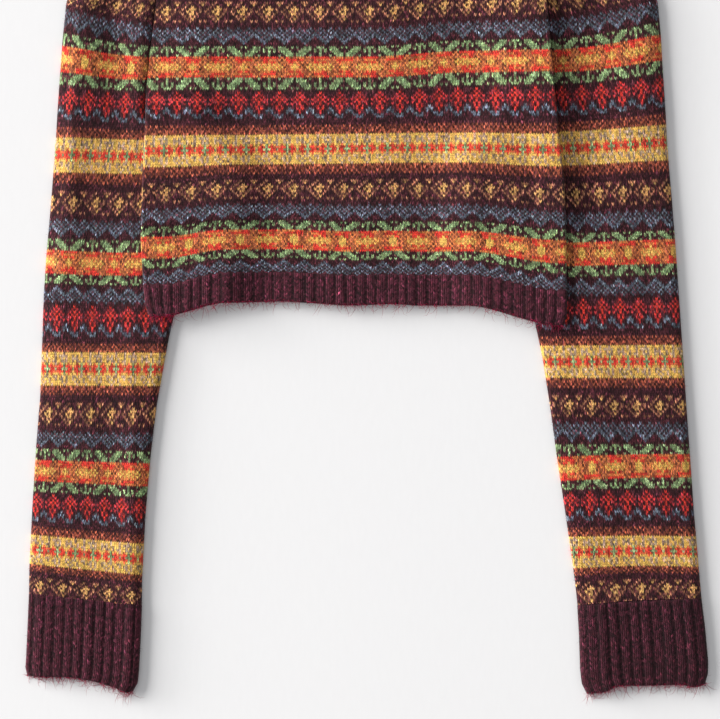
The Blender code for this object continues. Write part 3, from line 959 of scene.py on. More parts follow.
    def shoulder_x(self, y: float) -> float:
        """Distance from the centre line at which a height meets the shoulder line."""
        return NECK_HALF + (NECK_SIDE - y) / (NECK_SIDE - SHOULDER) * (SHOULDER_HALF - NECK_HALF)

    def side_fold(self, nominal: Array, level: Array | float) -> tuple[Array, Array]:
        """Where a row meets the side folds.

        Args:
            nominal: Distances along the row from the centre line.
            level: The row's level in the outline's table.

        Returns:
            The side of each place, -1 or 1, and the distance at which the cloth folds there.
        """
        left = nominal < 0
        edge = np.where(left, self.edge(Side.LEFT, level), self.edge(Side.RIGHT, level))
        return np.where(left, -1.0, 1.0), edge - FOLD


SLEEVES: dict[Side, SleevePlan] = {
    Side.LEFT: SleevePlan(
        Side.LEFT,
        outer=(
            (-324, 276.5), (-309, 278.8), (-300, 278.2), (-270, 276.8), (-246, 275.8), (-224, 275.4),
            (-170, 272.8), (-121, 269.6), (-78, 266.2), (-40, 264.8), (-22, 264.2), (8, 263.2),
            (47, 260.5), (80, 257.5), (112, 255), (140, 253), (159, 251.8), (180, 250.4), (197, 249.2),
            (225, 247.2), (255, 244.2), (280, 238), (299, 226), (318, 205), (331, 178),
        ),
        inner=(
            (-336, 186), (-323, 183.4), (-312, 182.2), (-281, 180.6), (-256, 179.7), (-234, 179.4),
            (-180, 176.6), (-130, 172.3), (-86, 167), (-47, 160), (-28, 156.5), (2, 149.5), (43, 141),
            (78, 138), (108, 141), (133, 152), (150, 166), (163, 176.6), (184, 176.5),
        ),
        rows=(
            (-37, -85.4, -87.6, 0), (-25, -66, -57.5, 1), (-15, -47, -34.5, 1.5), (-5, -25.5, -11.5, 1.5),
            (4.5, -4, 10.5, 1.5), (11, 8.5, 25, 1.5), (20, 33.5, 46.5, 1.5), (25, 45.5, 57.5, 1.5),
            (34, 72, 80.5, 1.5), (39, 83.5, 91, 1.5), (40, 88, 93.5, 1.5), (52, 119.5, 123.5, 0.5),
            (55, 126.5, 131.5, 0.5), (59, 137.5, 141, 0), (72, 172.5, 175, 0), (76, 183, 185.5, 1),
            (83.5, 202, 202.5, 2), (90, 218.5, 220.5, 1.5), (99, 238.5, 241, 1), (104, 249.4, 251.9, 2),
            (113, 273.4, 274.4, 2), (118, 282.9, 285.4, 1), (127, 301.9, 304.9, 0.5),
            (140, 336.4, 336.9, 0.5), (147, 351.9, 352.9, 0), (160, 385.4, 385.9, 0),
            (164, 394.9, 394.9, 0), (171.5, 413.4, 413.4, 1), (178, 429.9, 432.4, 1),
            (187, 448.4, 451.9, 0), (192, 459.8, 463.1, 0), (201, 480.7, 486.6, 0), (206, 490.9, 496.9, 0),
            (219, 520.9, 527.9, 0), (222, 525.4, 534.9, 0), (226, 534.4, 543.7, 0), (239, 563.7, 574.8, 0),
            (243, 570.5, 582, 0), (250.5, 584, 597, 0), (254.5, 594, 605.5, 0),
        ),
        wales=(
            (4.5, 43.7, 1.96), (45, 42, 1.95), (83.5, 39.7, 1.93), (128, 42.4, 1.9), (171.5, 45.4, 1.78),
            (210, 47.2, 1.82), (250.5, 49.7, 1.96),
        ),
        cuff=(
            (275.8, -246.4, 179.7, -256.4), (276.8, -270, 180.6, -281), (278.2, -300, 182.2, -312),
            (278.8, -309, 183.4, -323), (277.4, -315, 186.6, -328.6),
        ),
        phases={Motif.LEAVES: -1, Motif.ORANGES: -1, Motif.LEAVES_DOWN: -1, Motif.SCALLOPS: 1, Motif.PEAKS: 0,
                Motif.FLOWERS: 0, Motif.YELLOWS: 3},
    ),
    Side.RIGHT: SleevePlan(
        Side.RIGHT,
        outer=(
            (-333, 299.4), (-316, 302.2), (-305, 302.4), (-276, 299.8), (-250, 296.6), (-228, 294.6),
            (-175, 290), (-126, 286.6), (-82, 283.4), (-44, 280.9), (-25, 279.6), (5, 277.6), (48, 274.6),
            (84, 271.8), (116, 269), (143, 267), (161, 266.2), (182, 264.8), (199, 263.6), (228, 262),
            (256, 259.5), (287, 250), (308, 234), (323, 208), (332, 178),
        ),
        inner=(
            (-338, 198), (-323, 194.8), (-311, 193.4), (-281, 192.4), (-256, 191), (-234, 188.6),
            (-180, 181), (-130, 173.4), (-86, 167.5), (-47, 161.5), (-28, 157.5), (2, 151), (43, 143),
            (78, 139.5), (108, 141), (133, 148), (150, 162), (163, 173.2), (184, 171.7),
        ),
        rows=(
            (-35, -86.6, -87.6, 0), (-25, -72, -65, 1), (-15, -55, -43.5, 2), (-5, -36, -20.5, 2),
            (4.5, -16, 1.8, 2), (11, 0.5, 19.5, 2), (20, 22.5, 40.5, 2), (25, 34.5, 50.3, 2),
            (34, 60.6, 72.7, 2), (39, 72.7, 84, 2), (40, 75.5, 86.5, 2), (52, 107, 116, 1.5),
            (55, 114, 123, 1), (59, 124.8, 132.7, 1), (72, 160, 166.7, 1), (76, 171.1, 177.8, 1),
            (83.5, 190.3, 195.4, 1), (90, 208.8, 214.3, 0.5), (99, 230.8, 234.3, 0.5),
            (104, 238.8, 243.6, 0.5), (113, 263.4, 266.8, 0.5), (118, 274.6, 277.9, 0),
            (127, 294.8, 297.1, 0), (140, 327.8, 329.8, 0), (147, 344.8, 345.8, 0), (160, 377.8, 377.8, 0),
            (164, 387.8, 387.8, 0), (171.5, 406.8, 405.4, 0.5), (178, 421.8, 421.6, 0),
            (187, 444.3, 444.3, 0), (192, 453.8, 456.8, -1), (201, 477.3, 481.2, -1),
            (206, 487.8, 489.8, -1), (219, 520.8, 520.8, -1), (222, 526.3, 527.8, -1),
            (226, 536.3, 536.7, -1), (239, 566.8, 568.3, -2), (243, 574, 576, -2.5), (250.5, 590, 592, -3),
            (254.5, 598.6, 605, -2),
        ),
        wales=(
            (4.5, 42.4, 2.1), (45, 43.2, 2.08), (83.5, 41.2, 1.96), (128, 41.3, 1.96), (171.5, 41.8, 1.92),
            (210, 46, 2.02), (250.5, 50.2, 2.17),
        ),
        cuff=(
            (296.6, -250.4, 191, -256.4), (299.8, -276, 192.4, -281), (302.4, -305, 193.4, -311),
            (302.2, -316, 194.8, -323), (299.9, -324, 198.6, -330.6),
        ),
        phases={Motif.LEAVES: 10, Motif.ORANGES: 10, Motif.LEAVES_DOWN: 10, Motif.SCALLOPS: 3, Motif.PEAKS: 3,
                Motif.FLOWERS: 3, Motif.YELLOWS: 5},
    ),
}
BODY = BodyPlan()
# By how many stitches a band is moved along from where it would start
BODY_PHASES = {
    Motif.LEAVES: 10, Motif.ORANGES: 10, Motif.LEAVES_DOWN: 10, Motif.FLOWERS: -2, Motif.YELLOWS: 1,
}


# ---- Finishes ------------------------------------------------------------------------------------
class Nodes:
    """Short ways to place and join the nodes of one tree."""

    def __init__(self, tree: bpy.types.NodeTree) -> None:
        """Keeps the tree to work on."""
        self.tree = tree

    def add(
        self, kind: str, inputs: dict[str | int, object] | None = None, **settings: object
    ) -> bpy.types.Node:
        """Adds a node.

        Args:
            kind: The node's type.
            inputs: A socket or a value for each input, by name or number.
            **settings: The node's own properties.

        Returns:
            The node.
        """
        node = self.tree.nodes.new(kind)
        for name, value in settings.items():
            setattr(node, name, value)
        for name, value in (inputs or {}).items():
            self.feed(node.inputs[name], value)
        return node

    def feed(self, socket: bpy.types.NodeSocket, value: object) -> None:
        """Feeds a socket.

        Args:
            socket: The socket.
            value: Another socket to link it to, or its own value.
        """
        if isinstance(value, bpy.types.NodeSocket):
            self.tree.links.new(value, socket)
        else:
            socket.default_value = value

    def feed_all(self, node: bpy.types.Node, **values: object) -> None:
        """Feeds inputs by name, with an underscore for each space."""
        for name, value in values.items():
            self.feed(node.inputs[name.replace("_", " ")], value)

    def math(self, operation: str, *values: object) -> bpy.types.NodeSocket:
        """Adds a sum on one to three sockets or numbers."""
        return self.add("ShaderNodeMath", dict(enumerate(values)), operation=operation).outputs[0]

    def spread(
        self, value: object, low: float, high: float, to_low: float, to_high: float
    ) -> bpy.types.NodeSocket:
        """Maps a range of values on to another, held at its ends."""
        ends = {"From Min": low, "From Max": high, "To Min": to_low, "To Max": to_high}
        return self.add("ShaderNodeMapRange", {"Value": value, **ends}, clamp=True).outputs["Result"]

    def noise(
        self, vector: object, scale: float, detail: float, roughness: float = 0.55
    ) -> bpy.types.NodeSocket:
        """Adds a noise and gives its value's socket."""
        inputs = {"Vector": vector, "Scale": scale, "Detail": detail, "Roughness": roughness}
        return self.add("ShaderNodeTexNoise", inputs).outputs["Fac"]

    def mix(self, kind: str, factor: object, a: object, b: object) -> bpy.types.NodeSocket:
        """Mixes two colours and gives the result's socket."""
        inputs = {0: factor, 6: a, 7: b}
        return self.add("ShaderNodeMix", inputs, data_type="RGBA", blend_type=kind).outputs[2]

    def spot(self) -> bpy.types.NodeSocket:
        """The point of the surface."""
        return self.add("ShaderNodeTexCoord").outputs["Object"]

    def laid(self, vector: object, scale: Sequence[float], turn: float = 0.0) -> bpy.types.NodeSocket:
        """Stretches and turns a vector, so that what it feeds runs one way."""
        inputs = {"Vector": vector, "Scale": scale, "Rotation": (0.0, 0.0, turn)}
        return self.add("ShaderNodeMapping", inputs).outputs[0]

    def bump(self, height: object, strength: float, distance: float) -> bpy.types.NodeSocket:
        """Turns a height into a normal."""
        inputs = {"Height": height, "Strength": strength, "Distance": distance}
        return self.add("ShaderNodeBump", inputs).outputs["Normal"]


def new_material(name: str) -> tuple[bpy.types.Material, Nodes, bpy.types.Node]:
    """Starts a material.

    Args:
        name: The material's name.

    Returns:
        The material, its tree's helper and its shader.
    """
    made = bpy.data.materials.new(name)
    made.use_nodes = True
    return made, Nodes(made.node_tree), made.node_tree.nodes["Principled BSDF"]


def new_group(
    name: str, inputs: dict[str, str], outputs: Sequence[str]
) -> tuple[Nodes, bpy.types.Node, bpy.types.Node]:
    """Starts a node group with named sockets.

    Args:
        name: The group's name.
        inputs: The type of each named input.
        outputs: The names of its outputs, which are all plain numbers.

    Returns:
        The tree's helper, its input node and its output node.
    """
    tree = bpy.data.node_groups.new(name, "ShaderNodeTree")
    for label, kind in inputs.items():
        tree.interface.new_socket(name=label, in_out="INPUT", socket_type=kind)
    for label in outputs:
        tree.interface.new_socket(name=label, in_out="OUTPUT", socket_type="NodeSocketFloat")
    nodes = Nodes(tree)
    return nodes, nodes.add("NodeGroupInput"), nodes.add("NodeGroupOutput")


def stitch_group() -> bpy.types.NodeTree:
    """Makes the group that rounds each leg of a stitch.

    Returns:
        A group with the leg's height and the painted shade in the gap beside it.
    """
    nodes, given, made = new_group(
        "stitch_legs",
        {"Stitches": "NodeSocketVector", "Twist": "NodeSocketFloat"},
        ("Height", "Gap"),
    )
    split = nodes.add("ShaderNodeSeparateXYZ", {0: given.outputs["Stitches"]})
    across, along = nodes.math("MULTIPLY", split.outputs[0], 2.0), split.outputs[1]
    side = nodes.math("MULTIPLY", nodes.math("PINGPONG", across, 0.5), 2.0)
    end = nodes.math("MULTIPLY", nodes.math("PINGPONG", along, 0.5), 2.0)
    round_side = nodes.math("POWER", side, 0.6)
    round_end = nodes.math("MULTIPLY_ADD", nodes.math("POWER", end, 0.5), 0.75, 0.25)
    leg = nodes.math("MULTIPLY", round_side, round_end)
    slant = nodes.math("ADD", across, nodes.math("MULTIPLY", along, 3.0))
    wave = nodes.math("SINE", nodes.math("MULTIPLY", slant, 2.0 * math.pi))
    ply = nodes.math("MULTIPLY", wave, given.outputs["Twist"])
    # the gap value is painted shade: it darkens the colour at the edges of each leg, standing in for the
    # shade between legs
    nodes.feed_all(made, Height=nodes.math("ADD", leg, ply), Gap=nodes.spread(leg, 0.12, 0.72, 1.0, 0.0))
    return nodes.tree


def wool_group() -> bpy.types.NodeTree:
    """Makes the group of the wool's own unevenness.

    Returns:
        A group with the tone of the fibres, a mask of loose pale fibres and a fine height.
    """
    inputs, outputs = {"Fineness": "NodeSocketFloat"}, ("Tone", "Fluff", "Height")
    nodes, given, made = new_group("wool_fibres", inputs, outputs)
    spot = nodes.spot()
    size = {0: spot, "Scale": given.outputs["Fineness"]}
    scaled = nodes.add("ShaderNodeVectorMath", size, operation="SCALE").outputs[0]
    fine = nodes.noise(scaled, 1.1, 4.0, 0.7)
    fine_tone = nodes.spread(fine, 0.31, 0.69, 0.35, 1.8)
    broad_tone = nodes.spread(nodes.noise(spot, 28.0, 2.0), 0.3, 0.7, 0.93, 1.07)
    hairs = nodes.noise(nodes.laid(scaled, (0.35, 1.6, 1.0), 0.6), 1.7, 3.0, 0.75)
    fluff = nodes.spread(hairs, 0.56, 0.74, 0.0, 1.0)
    nodes.feed_all(made, Tone=nodes.math("MULTIPLY", fine_tone, broad_tone), Fluff=fluff, Height=fine)
    return nodes.tree


@dataclass(frozen=True)
class KnitFinish:
    """Soft wool whose colour comes from the yarn of each stitch, with painted shade in the gaps between its
    legs.
    """

    name: str
    slot: str
    # how strongly, and towards what colour, the gaps between stitch legs are darkened: painted shade
    gap: float = 0.85
    gap_tint: Colour = (0.26, 0.17, 0.19)
    twist: float = 0.05
    relief: float = 0.85
    fluff: float = 0.2
    fineness: float = 620.0
    sheen: float = 0.08
    sheen_tint: Colour = (0.9, 0.82, 0.8)
    roughness: float = 0.88
    specular: float = 0.18
    pale: Colour = (0.75, 0.6, 0.58)  # what the fluff is lightened with

    def material(self, groups: dict[str, bpy.types.NodeTree]) -> bpy.types.Material:
        """Makes the material.

        Args:
            groups: The shared node groups by name.

        Returns:
            The finished material.
        """
        made, nodes, shader = new_material(self.name)
        yarn = nodes.add("ShaderNodeAttribute", attribute_name="yarn").outputs["Color"]
        stitches = nodes.add("ShaderNodeUVMap", uv_map="Stitches").outputs["UV"]
        legs, wool = (nodes.add("ShaderNodeGroup", node_tree=groups[name])
                      for name in ("stitch_legs", "wool_fibres"))
        nodes.feed_all(legs, Stitches=stitches, Twist=self.twist)
        nodes.feed_all(wool, Fineness=self.fineness)
        # painted shade: the yarn's colour is darkened towards a dark tint in the gaps between the legs
        depth = nodes.math("MULTIPLY", legs.outputs["Gap"], self.gap)
        shade = nodes.mix("MIX", depth, (1.0, 1.0, 1.0, 1.0), (*self.gap_tint, 1.0))
        toned = nodes.mix("MULTIPLY", 1.0, yarn, wool.outputs["Tone"])
        colour = nodes.mix("MULTIPLY", 1.0, toned, shade)
        pale = nodes.mix("MIX", 0.05, yarn, (*self.pale, 1.0))
        fluffy = nodes.math("MULTIPLY", wool.outputs["Fluff"], self.fluff)
        high = nodes.math("MULTIPLY_ADD", wool.outputs["Height"], 0.35, legs.outputs["Height"])
        nodes.feed_all(
            shader,
            Base_Color=nodes.mix("MIX", fluffy, colour, pale),
            Normal=nodes.bump(high, self.relief, 0.9 * MM),
            Roughness=nodes.spread(wool.outputs["Tone"], 0.7, 1.3, self.roughness, 0.98),
            Specular_IOR_Level=self.specular,
            Sheen_Weight=self.sheen,
            Sheen_Roughness=0.45,
            Sheen_Tint=(*self.sheen_tint, 1.0),
        )
        return made


@dataclass(frozen=True)
class HornFinish:
    """Dark polished horn with pale clouds and fine scratches."""

    name: str = "dark_horn"
    slot: str = "dark_horn"
    dark: Colour = (0.022, 0.011, 0.009)
    pale: Colour = (0.115, 0.058, 0.034)

    def material(self) -> bpy.types.Material:
        """Makes the material.

        Returns:
            The finished material.
        """
        made, nodes, shader = new_material(self.name)
        grain = nodes.laid(nodes.spot(), (1.0, 2.6, 1.0))
        clouds = nodes.spread(nodes.noise(grain, 170.0, 5.0, 0.6), 0.42, 0.7, 0.0, 1.0)
        scratches = nodes.noise(grain, 900.0, 3.0, 0.7)
        nodes.feed_all(
            shader,
            Base_Color=nodes.mix("MIX", clouds, (*self.dark, 1.0), (*self.pale, 1.0)),
            Roughness=nodes.spread(scratches, 0.3, 0.7, 0.22, 0.42),
            Normal=nodes.bump(scratches, 0.08, 0.2 * MM),
        )
        return made


@dataclass(frozen=True)
class FloorFinish:
    """Matt pale paper with a very faint grain."""

    name: str = "pale_floor"
    colour: Colour = (0.700, 0.700, 0.706)

    def material(self) -> bpy.types.Material:
        """Makes the material.

        Returns:
            The finished material.
        """
        made, nodes, shader = new_material(self.name)
        grain = nodes.noise(nodes.laid(nodes.spot(), (1.0, 0.25, 1.0)), 260.0, 4.0)
        colour = nodes.mix("MULTIPLY", 1.0, (*self.colour, 1.0), nodes.spread(grain, 0.3, 0.7, 0.985, 1.0))
        nodes.feed_all(shader, Base_Color=colour, Roughness=0.9, Specular_IOR_Level=0.1)
        return made


@dataclass
class Wardrobe:
    """The finishes, made once, and how a piece is dressed in one."""

    knit: KnitFinish = KnitFinish("fair_isle_knit", "fair_isle_knit")
    rib: KnitFinish = KnitFinish("wine_rib", "wine_rib", gap=0.2, relief=0.55, fluff=0.16)
    horn: HornFinish = HornFinish()
    made: dict[str, bpy.types.Material] = field(default_factory=dict)

    def __post_init__(self) -> None:
        """Makes the shared groups and the materials."""
        groups = {"stitch_legs": stitch_group(), "wool_fibres": wool_group()}
        self.made = {f.name: f.material(groups) for f in (self.knit, self.rib)}
        self.made[self.horn.name] = self.horn.material()

    def dress(
        self, piece: bpy.types.Object, finish: KnitFinish | HornFinish, *nodes: str
    ) -> bpy.types.Object:
        """Gives a piece its finish and its place in the frame.

        Args:
            piece: The object.
            finish: The finish that it wears.
            *nodes: The CAD nodes that it stands for.

        Returns:
            The same object.
        """
        piece.data.materials.clear()
        piece.data.materials.append(self.made[finish.name])
        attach(piece, "root")
        if nodes:
            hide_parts(*nodes)
        return piece


# ---- Body ----------------------------------------------------------------------------------------
def half_run(start: float, end: float) -> Array:
    """Whole half stitches between two ends, with the ends themselves.

    Args:
        start: First half stitch, whole or not.
        end: Last half stitch.

    Returns:
        Rising numbers.
    """
    inside = np.arange(math.ceil(start + 0.25), math.floor(end - 0.25) + 1, dtype=float)
    return np.concatenate([[start], inside, [end]])


def is_point(halves: Array) -> Array:
    """Whether a half stitch is the low point of a V."""
    return halves % 2 == 1


def stand_up(seed: int, row: float, halves: Array) -> Array:
    """How far each stitch of a row stands up: unevenly, and less in the groove between two wales.

    Args:
        seed: The piece's own seed.
        row: The row's number.
        halves: Half stitches along it.

    Returns:
        Heights in metres.
    """
    rng = np.random.default_rng(int(seed * 1000 + (row + 90) * 4))
    return (rng.normal(0.0, LOOSE, len(halves)) - GROOVE * (halves % 2 == 0)) * MM


CREASE_END, CREASE_EASE = 178.0, 14.0  # where the creases have died out, and over what length
# The creases' sizes, in the order of Crease's fields
BACK_CREASES = (
    (-86, 190, 440, 30, 1.2, 0), (112, 200, 440, 38, 1.4, 0), (-118, 66, 150, 13, 0.66, 4),
    (-92, 48, 120, 9, -0.48, 2), (-58, 58, 170, 12, 0.54, -3), (-34, 40, 105, 8, -0.42, -2),
    (4, 52, 140, 11, 0.36, 3), (33, 46, 110, 7, -0.54, 0), (56, 38, 90, 6, -0.36, 3),
    (82, 62, 165, 13, 0.72, -4), (112, 50, 130, 9, -0.48, -6), (138, 74, 150, 11, 0.48, -8),
    (-128, 196, 150, 15, 0.48, 16), (-70, 232, 190, 20, -0.36, 7), (26, 214, 170, 18, 0.3, -5),
    (92, 236, 180, 17, -0.36, -10), (132, 204, 140, 12, 0.54, -18),
)


@dataclass
class BodyPanel:
    """The back or one front, in fair isle."""

    wardrobe: Wardrobe
    name: str
    seed: int
    upward: bool
    start_x: float | None = None
    side: Side | None = None
    last_row: float = 128.0
    first_row: int = -66

    def height(self, x: Array, y: Array, sink: float) -> Array:
        """The face's height at a flat point.

        Args:
            x: Distances from the centre line.
            y: Heights above the hem.
            sink: How far inside the outer face.

        Returns:
            Heights above the surface.
        """
        if self.upward:
            under = LAYERS + 0.2
            raised = creased(BACK_CREASES, x, y) * smooth((CREASE_END - np.abs(x)) / CREASE_EASE)
            z = np.maximum(BODY.back_top(x, y) + raised, under) - sink
        else:
            z = BODY.front_under(x, y) + sink
        gap = BODY.shoulder(x) - y
        round_off = FOLD * (1.0 - np.sqrt(1.0 - np.clip(1.0 - gap / FOLD, 0.0, 1.0) ** 2))
        return z - round_off * (1.0 if self.upward else -1.0)

    def surface(self, row: Array, nominal: Array, sink: float = 0.0) -> Array:
        """Where a stitch lies.

        Args:
            row: Row numbers, broken where a V's point hangs down.
            nominal: Distances along the row from the centre line, on round the side fold.
            sink: How far inside the outer face.

        Returns:
            Points in metres.
        """
        base = BODY.base(row)
        side, fold_x = BODY.side_fold(nominal, BODY.level(base))
        past = np.abs(nominal) - fold_x
        angle = np.clip(past / FOLD, 0.0, math.pi / 2)
        radius = FOLD - sink
        flat = np.minimum(np.abs(nominal), fold_x)
        y = BODY.line(side * flat, base)
        z = self.height(side * flat, y, sink)
        down = radius * (1.0 - np.cos(angle))
        if self.upward:
            down = down + BODY.side_drop(side * fold_x, y) * np.clip(1.6 * angle - 0.9, 0.0, 1.0)
        folded = (base < ARMPIT) | self.upward
        x = np.where((past > 0) & folded, fold_x + radius * np.sin(angle), np.abs(nominal))
        z = np.where((past > 0) & folded, z - down if self.upward else z + down, z)
        return place(side * x, y, z)

    def ends(self, row: float) -> list[tuple[float, float]]:
        """The runs of a row, from one end to the other, as nominal distances.

        Args:
            row: The row's number.

        Returns:
            One run, or two where the neck parts the back.
        """
        base = float(BODY.base(row))
        level = float(BODY.level(base))
        turned = QUARTER - FOLD if base < ARMPIT or self.upward else 0.0
        reach = {side: float(BODY.edge(side, level)) + turned for side in Side}
        if base > SHOULDER - 1.0:
            top = BODY.shoulder_x(base + 0.4)
            reach = {side: min(reach[side], top) for side in Side}
        if self.upward:
            depth = base - (NECK_SIDE - NECK_DEPTH)
            if depth <= 0.0:
                return [(-reach[Side.LEFT], reach[Side.RIGHT])]
            neck = NECK_HALF * math.sqrt(min(depth / NECK_DEPTH, 1.0))
            return [(-reach[Side.LEFT], -neck), (neck, reach[Side.RIGHT])]
        start = self.start_x or 0.0
        if base > NECK_SIDE - NECK_HALF:
            start = max(start, math.sqrt(max(NECK_HALF**2 - (NECK_SIDE - base) ** 2, 0.0)))
        return [(start, reach[Side.RIGHT])] if self.side == Side.RIGHT else [(-reach[Side.LEFT], -start)]

    def course(self, row: float, run: tuple[float, float], straight: bool, sink: float = 0.0) -> Course:
        """Makes one course.

        Args:
            row: The row's number.
            run: Its ends, as nominal distances.
            straight: Whether its Vs have no points, as along an edge.
            sink: How far inside the outer face it lies.

        Returns:
            The course.
        """
        base = float(BODY.base(row))
        first, last = (2.0 * ((BODY.unpushed(n, base) - BODY.wale_zero) / STITCH + 0.5) for n in run)
        halves = half_run(first, last)
        nominal = BODY.pushed((halves / 2 - 0.5) * STITCH + BODY.wale_zero, base)
        hang = 0.0 if straight else DIP
        points = self.surface(row + hang * (is_point(halves) - 0.5), nominal, sink)
        points[:, 2] += stand_up(self.seed, row, halves) * (1.0 if self.upward else -1.0)
        return Course(halves, points, row)

    def build(self) -> bpy.types.Object:
        """Builds and dresses the panel.

        Returns:
            The new object.
        """
        chart = Chart((SHORT_ROUND, SHORT_ROUND, LONG_ROUND), BODY_PHASES)
        knit = Knit(self.name, self.seed, chart.letters, flip=self.upward)
        rows = [float(r) for r in range(self.first_row, int(self.last_row) + 1)]
        runs = {row: self.ends(row) for row in rows}
        rows = [row for row in rows if all(b - a > 3.0 for a, b in runs[row])]
        edge_rows = (rows[0], rows[-1])
        split = [row for row in rows if len(runs[row]) == 2]
        whole = [row for row in rows if len(runs[row]) == 1]
        main = [self.course(row, runs[row][0], row in edge_rows) for row in whole]
        for part in range(2 if split else 0):
            side_rows = [self.course(row, runs[row][part], row in edge_rows) for row in split]
            knit.strip(side_rows + [self.part_of(main[0], part)])
        knit.strip(main)
        return knit.make(self.wardrobe, self.wardrobe.knit)

    @staticmethod
    def part_of(course: Course, part: int) -> Course:
        """The half of a course on one side of the neck's lowest point.

        Args:
            course: The whole course.
            part: 0 for the left half, 1 for the right one.

        Returns:
            The half.
        """
        middle = 2.0 * (-BODY.wale_zero / STITCH + 0.5)
        keep = course.halves <= middle if part == 0 else course.halves >= math.floor(middle)
        return Course(course.halves[keep], course.points[keep], course.row)


# Where the six columns of a rib lie between its two ends, and how high each one stands
RIB_SPOTS = (0.0, 0.185, 0.37, 0.555, 0.74, 0.87)
RIB_RISES = (0.45, 1.0, 0.82, 1.0, 0.45, 0.0)
# The turned edge of a rib: how far past its last row each course lies, and how far inside the outer face
TURNED_EDGE = ((0.6, 0.45), (0.75, 1.0), (0.3, 1.55), (-1.2, 1.72), (-7.0, 1.75))
INSIDE = 0.2  # a course that is sunk further than this belongs to the turned edge
RIB_SEED = 5
RIB_WIDTHS, RIB_HEIGHTS = 0.09, 0.25  # how uneven the widths and the heights of the ribs are


@dataclass(frozen=True)
class RibRow:
    """Where one course of a rib lies."""

    end: float  # from the seam, 0, to the free edge, 1
    row: float
    hang: float = 0.0  # how far the points of its Vs hang down, in rows
    sink: float = 0.0  # how far inside the outer face
    past: float = 0.0  # how far it is moved beyond its place

    def faded(self, to: float) -> float:
        """1, or less where the course belongs to the turned edge."""
        return to if self.sink > INSIDE else 1.0


@dataclass
class RibPiece:
    """A length of two-by-two rib, knitted from its seam to its free edge, which is turned under."""

    wardrobe: Wardrobe
    name: str
    seed: int
    ribs: int = 11
    rows: int = 10
    rise: float = 0.8
    hang: float = 0.4  # how far the points of its Vs hang down, in rows
    seam: RibRow = RibRow(0.0, -1.0, sink=0.9)  # the course inside the seam
    flip: bool = False
    # painted shade: a factor that darkens all the piece's colours, standing in for shade
    shade: float = 1.0

    def columns(self) -> tuple[Array, Array, Array]:
        """The columns of the run of ribs, six to each.

        Returns:
            The columns' numbers, their shares of the run and their heights.
        """
        ribs = self.ribs
        numbers = np.arange(ribs * 6 + 1)
        rng = np.random.default_rng(RIB_SEED + ribs)
        widths = np.exp(rng.normal(0.0, RIB_WIDTHS, ribs + 1))
        ends = np.concatenate([[0.0], np.cumsum(widths)])
        shares = (ends[numbers // 6] + widths[numbers // 6] * np.array(RIB_SPOTS)[numbers % 6]) / ends[ribs]
        rises = np.clip(1.0 + rng.normal(0.0, RIB_HEIGHTS, ribs + 1), 0.5, 1.5)[numbers // 6]
        return numbers, np.minimum(shares, 1.0), np.array(RIB_RISES)[numbers % 6] * self.rise * rises

    @staticmethod
    def points(numbers: Array) -> Array:
        """Which columns are the low points of Vs."""
        return (numbers % 6 == 1) | (numbers % 6 == 3)

    @staticmethod
    def paint(row: int, wales: Array) -> Array:
        """The stitches of a rib are wine, darkened with painted shade where they sink between two ribs."""
        return np.where(wales % 3 == 2, "n", "w")

    def course(self, at: RibRow) -> Course:
        """Makes one course, in each kind of rib in its own way."""
        raise NotImplementedError

    def courses(self) -> list[Course]:
        """Makes all courses.

        Returns:
            The courses, from the one inside the seam to the end of the turned edge.
        """
        rows = [self.seam]
        for i in range(self.rows + 1):
            hang = 0.0 if i in (0, self.rows) else self.hang
            rows.append(RibRow(i / self.rows, float(i), hang))
        for n, (past, sink) in enumerate(TURNED_EDGE, start=1):
            rows.append(RibRow(1.0, float(self.rows + n), sink=sink, past=past))
        return [self.course(row) for row in rows]

    def build(self) -> bpy.types.Object:
        """Builds and dresses the piece.

        Returns:
            The new object.
        """
        knit = Knit(self.name, self.seed, self.paint, self.flip, self.shade)
        knit.strip(self.courses())
        return knit.make(self.wardrobe, self.wardrobe.rib)


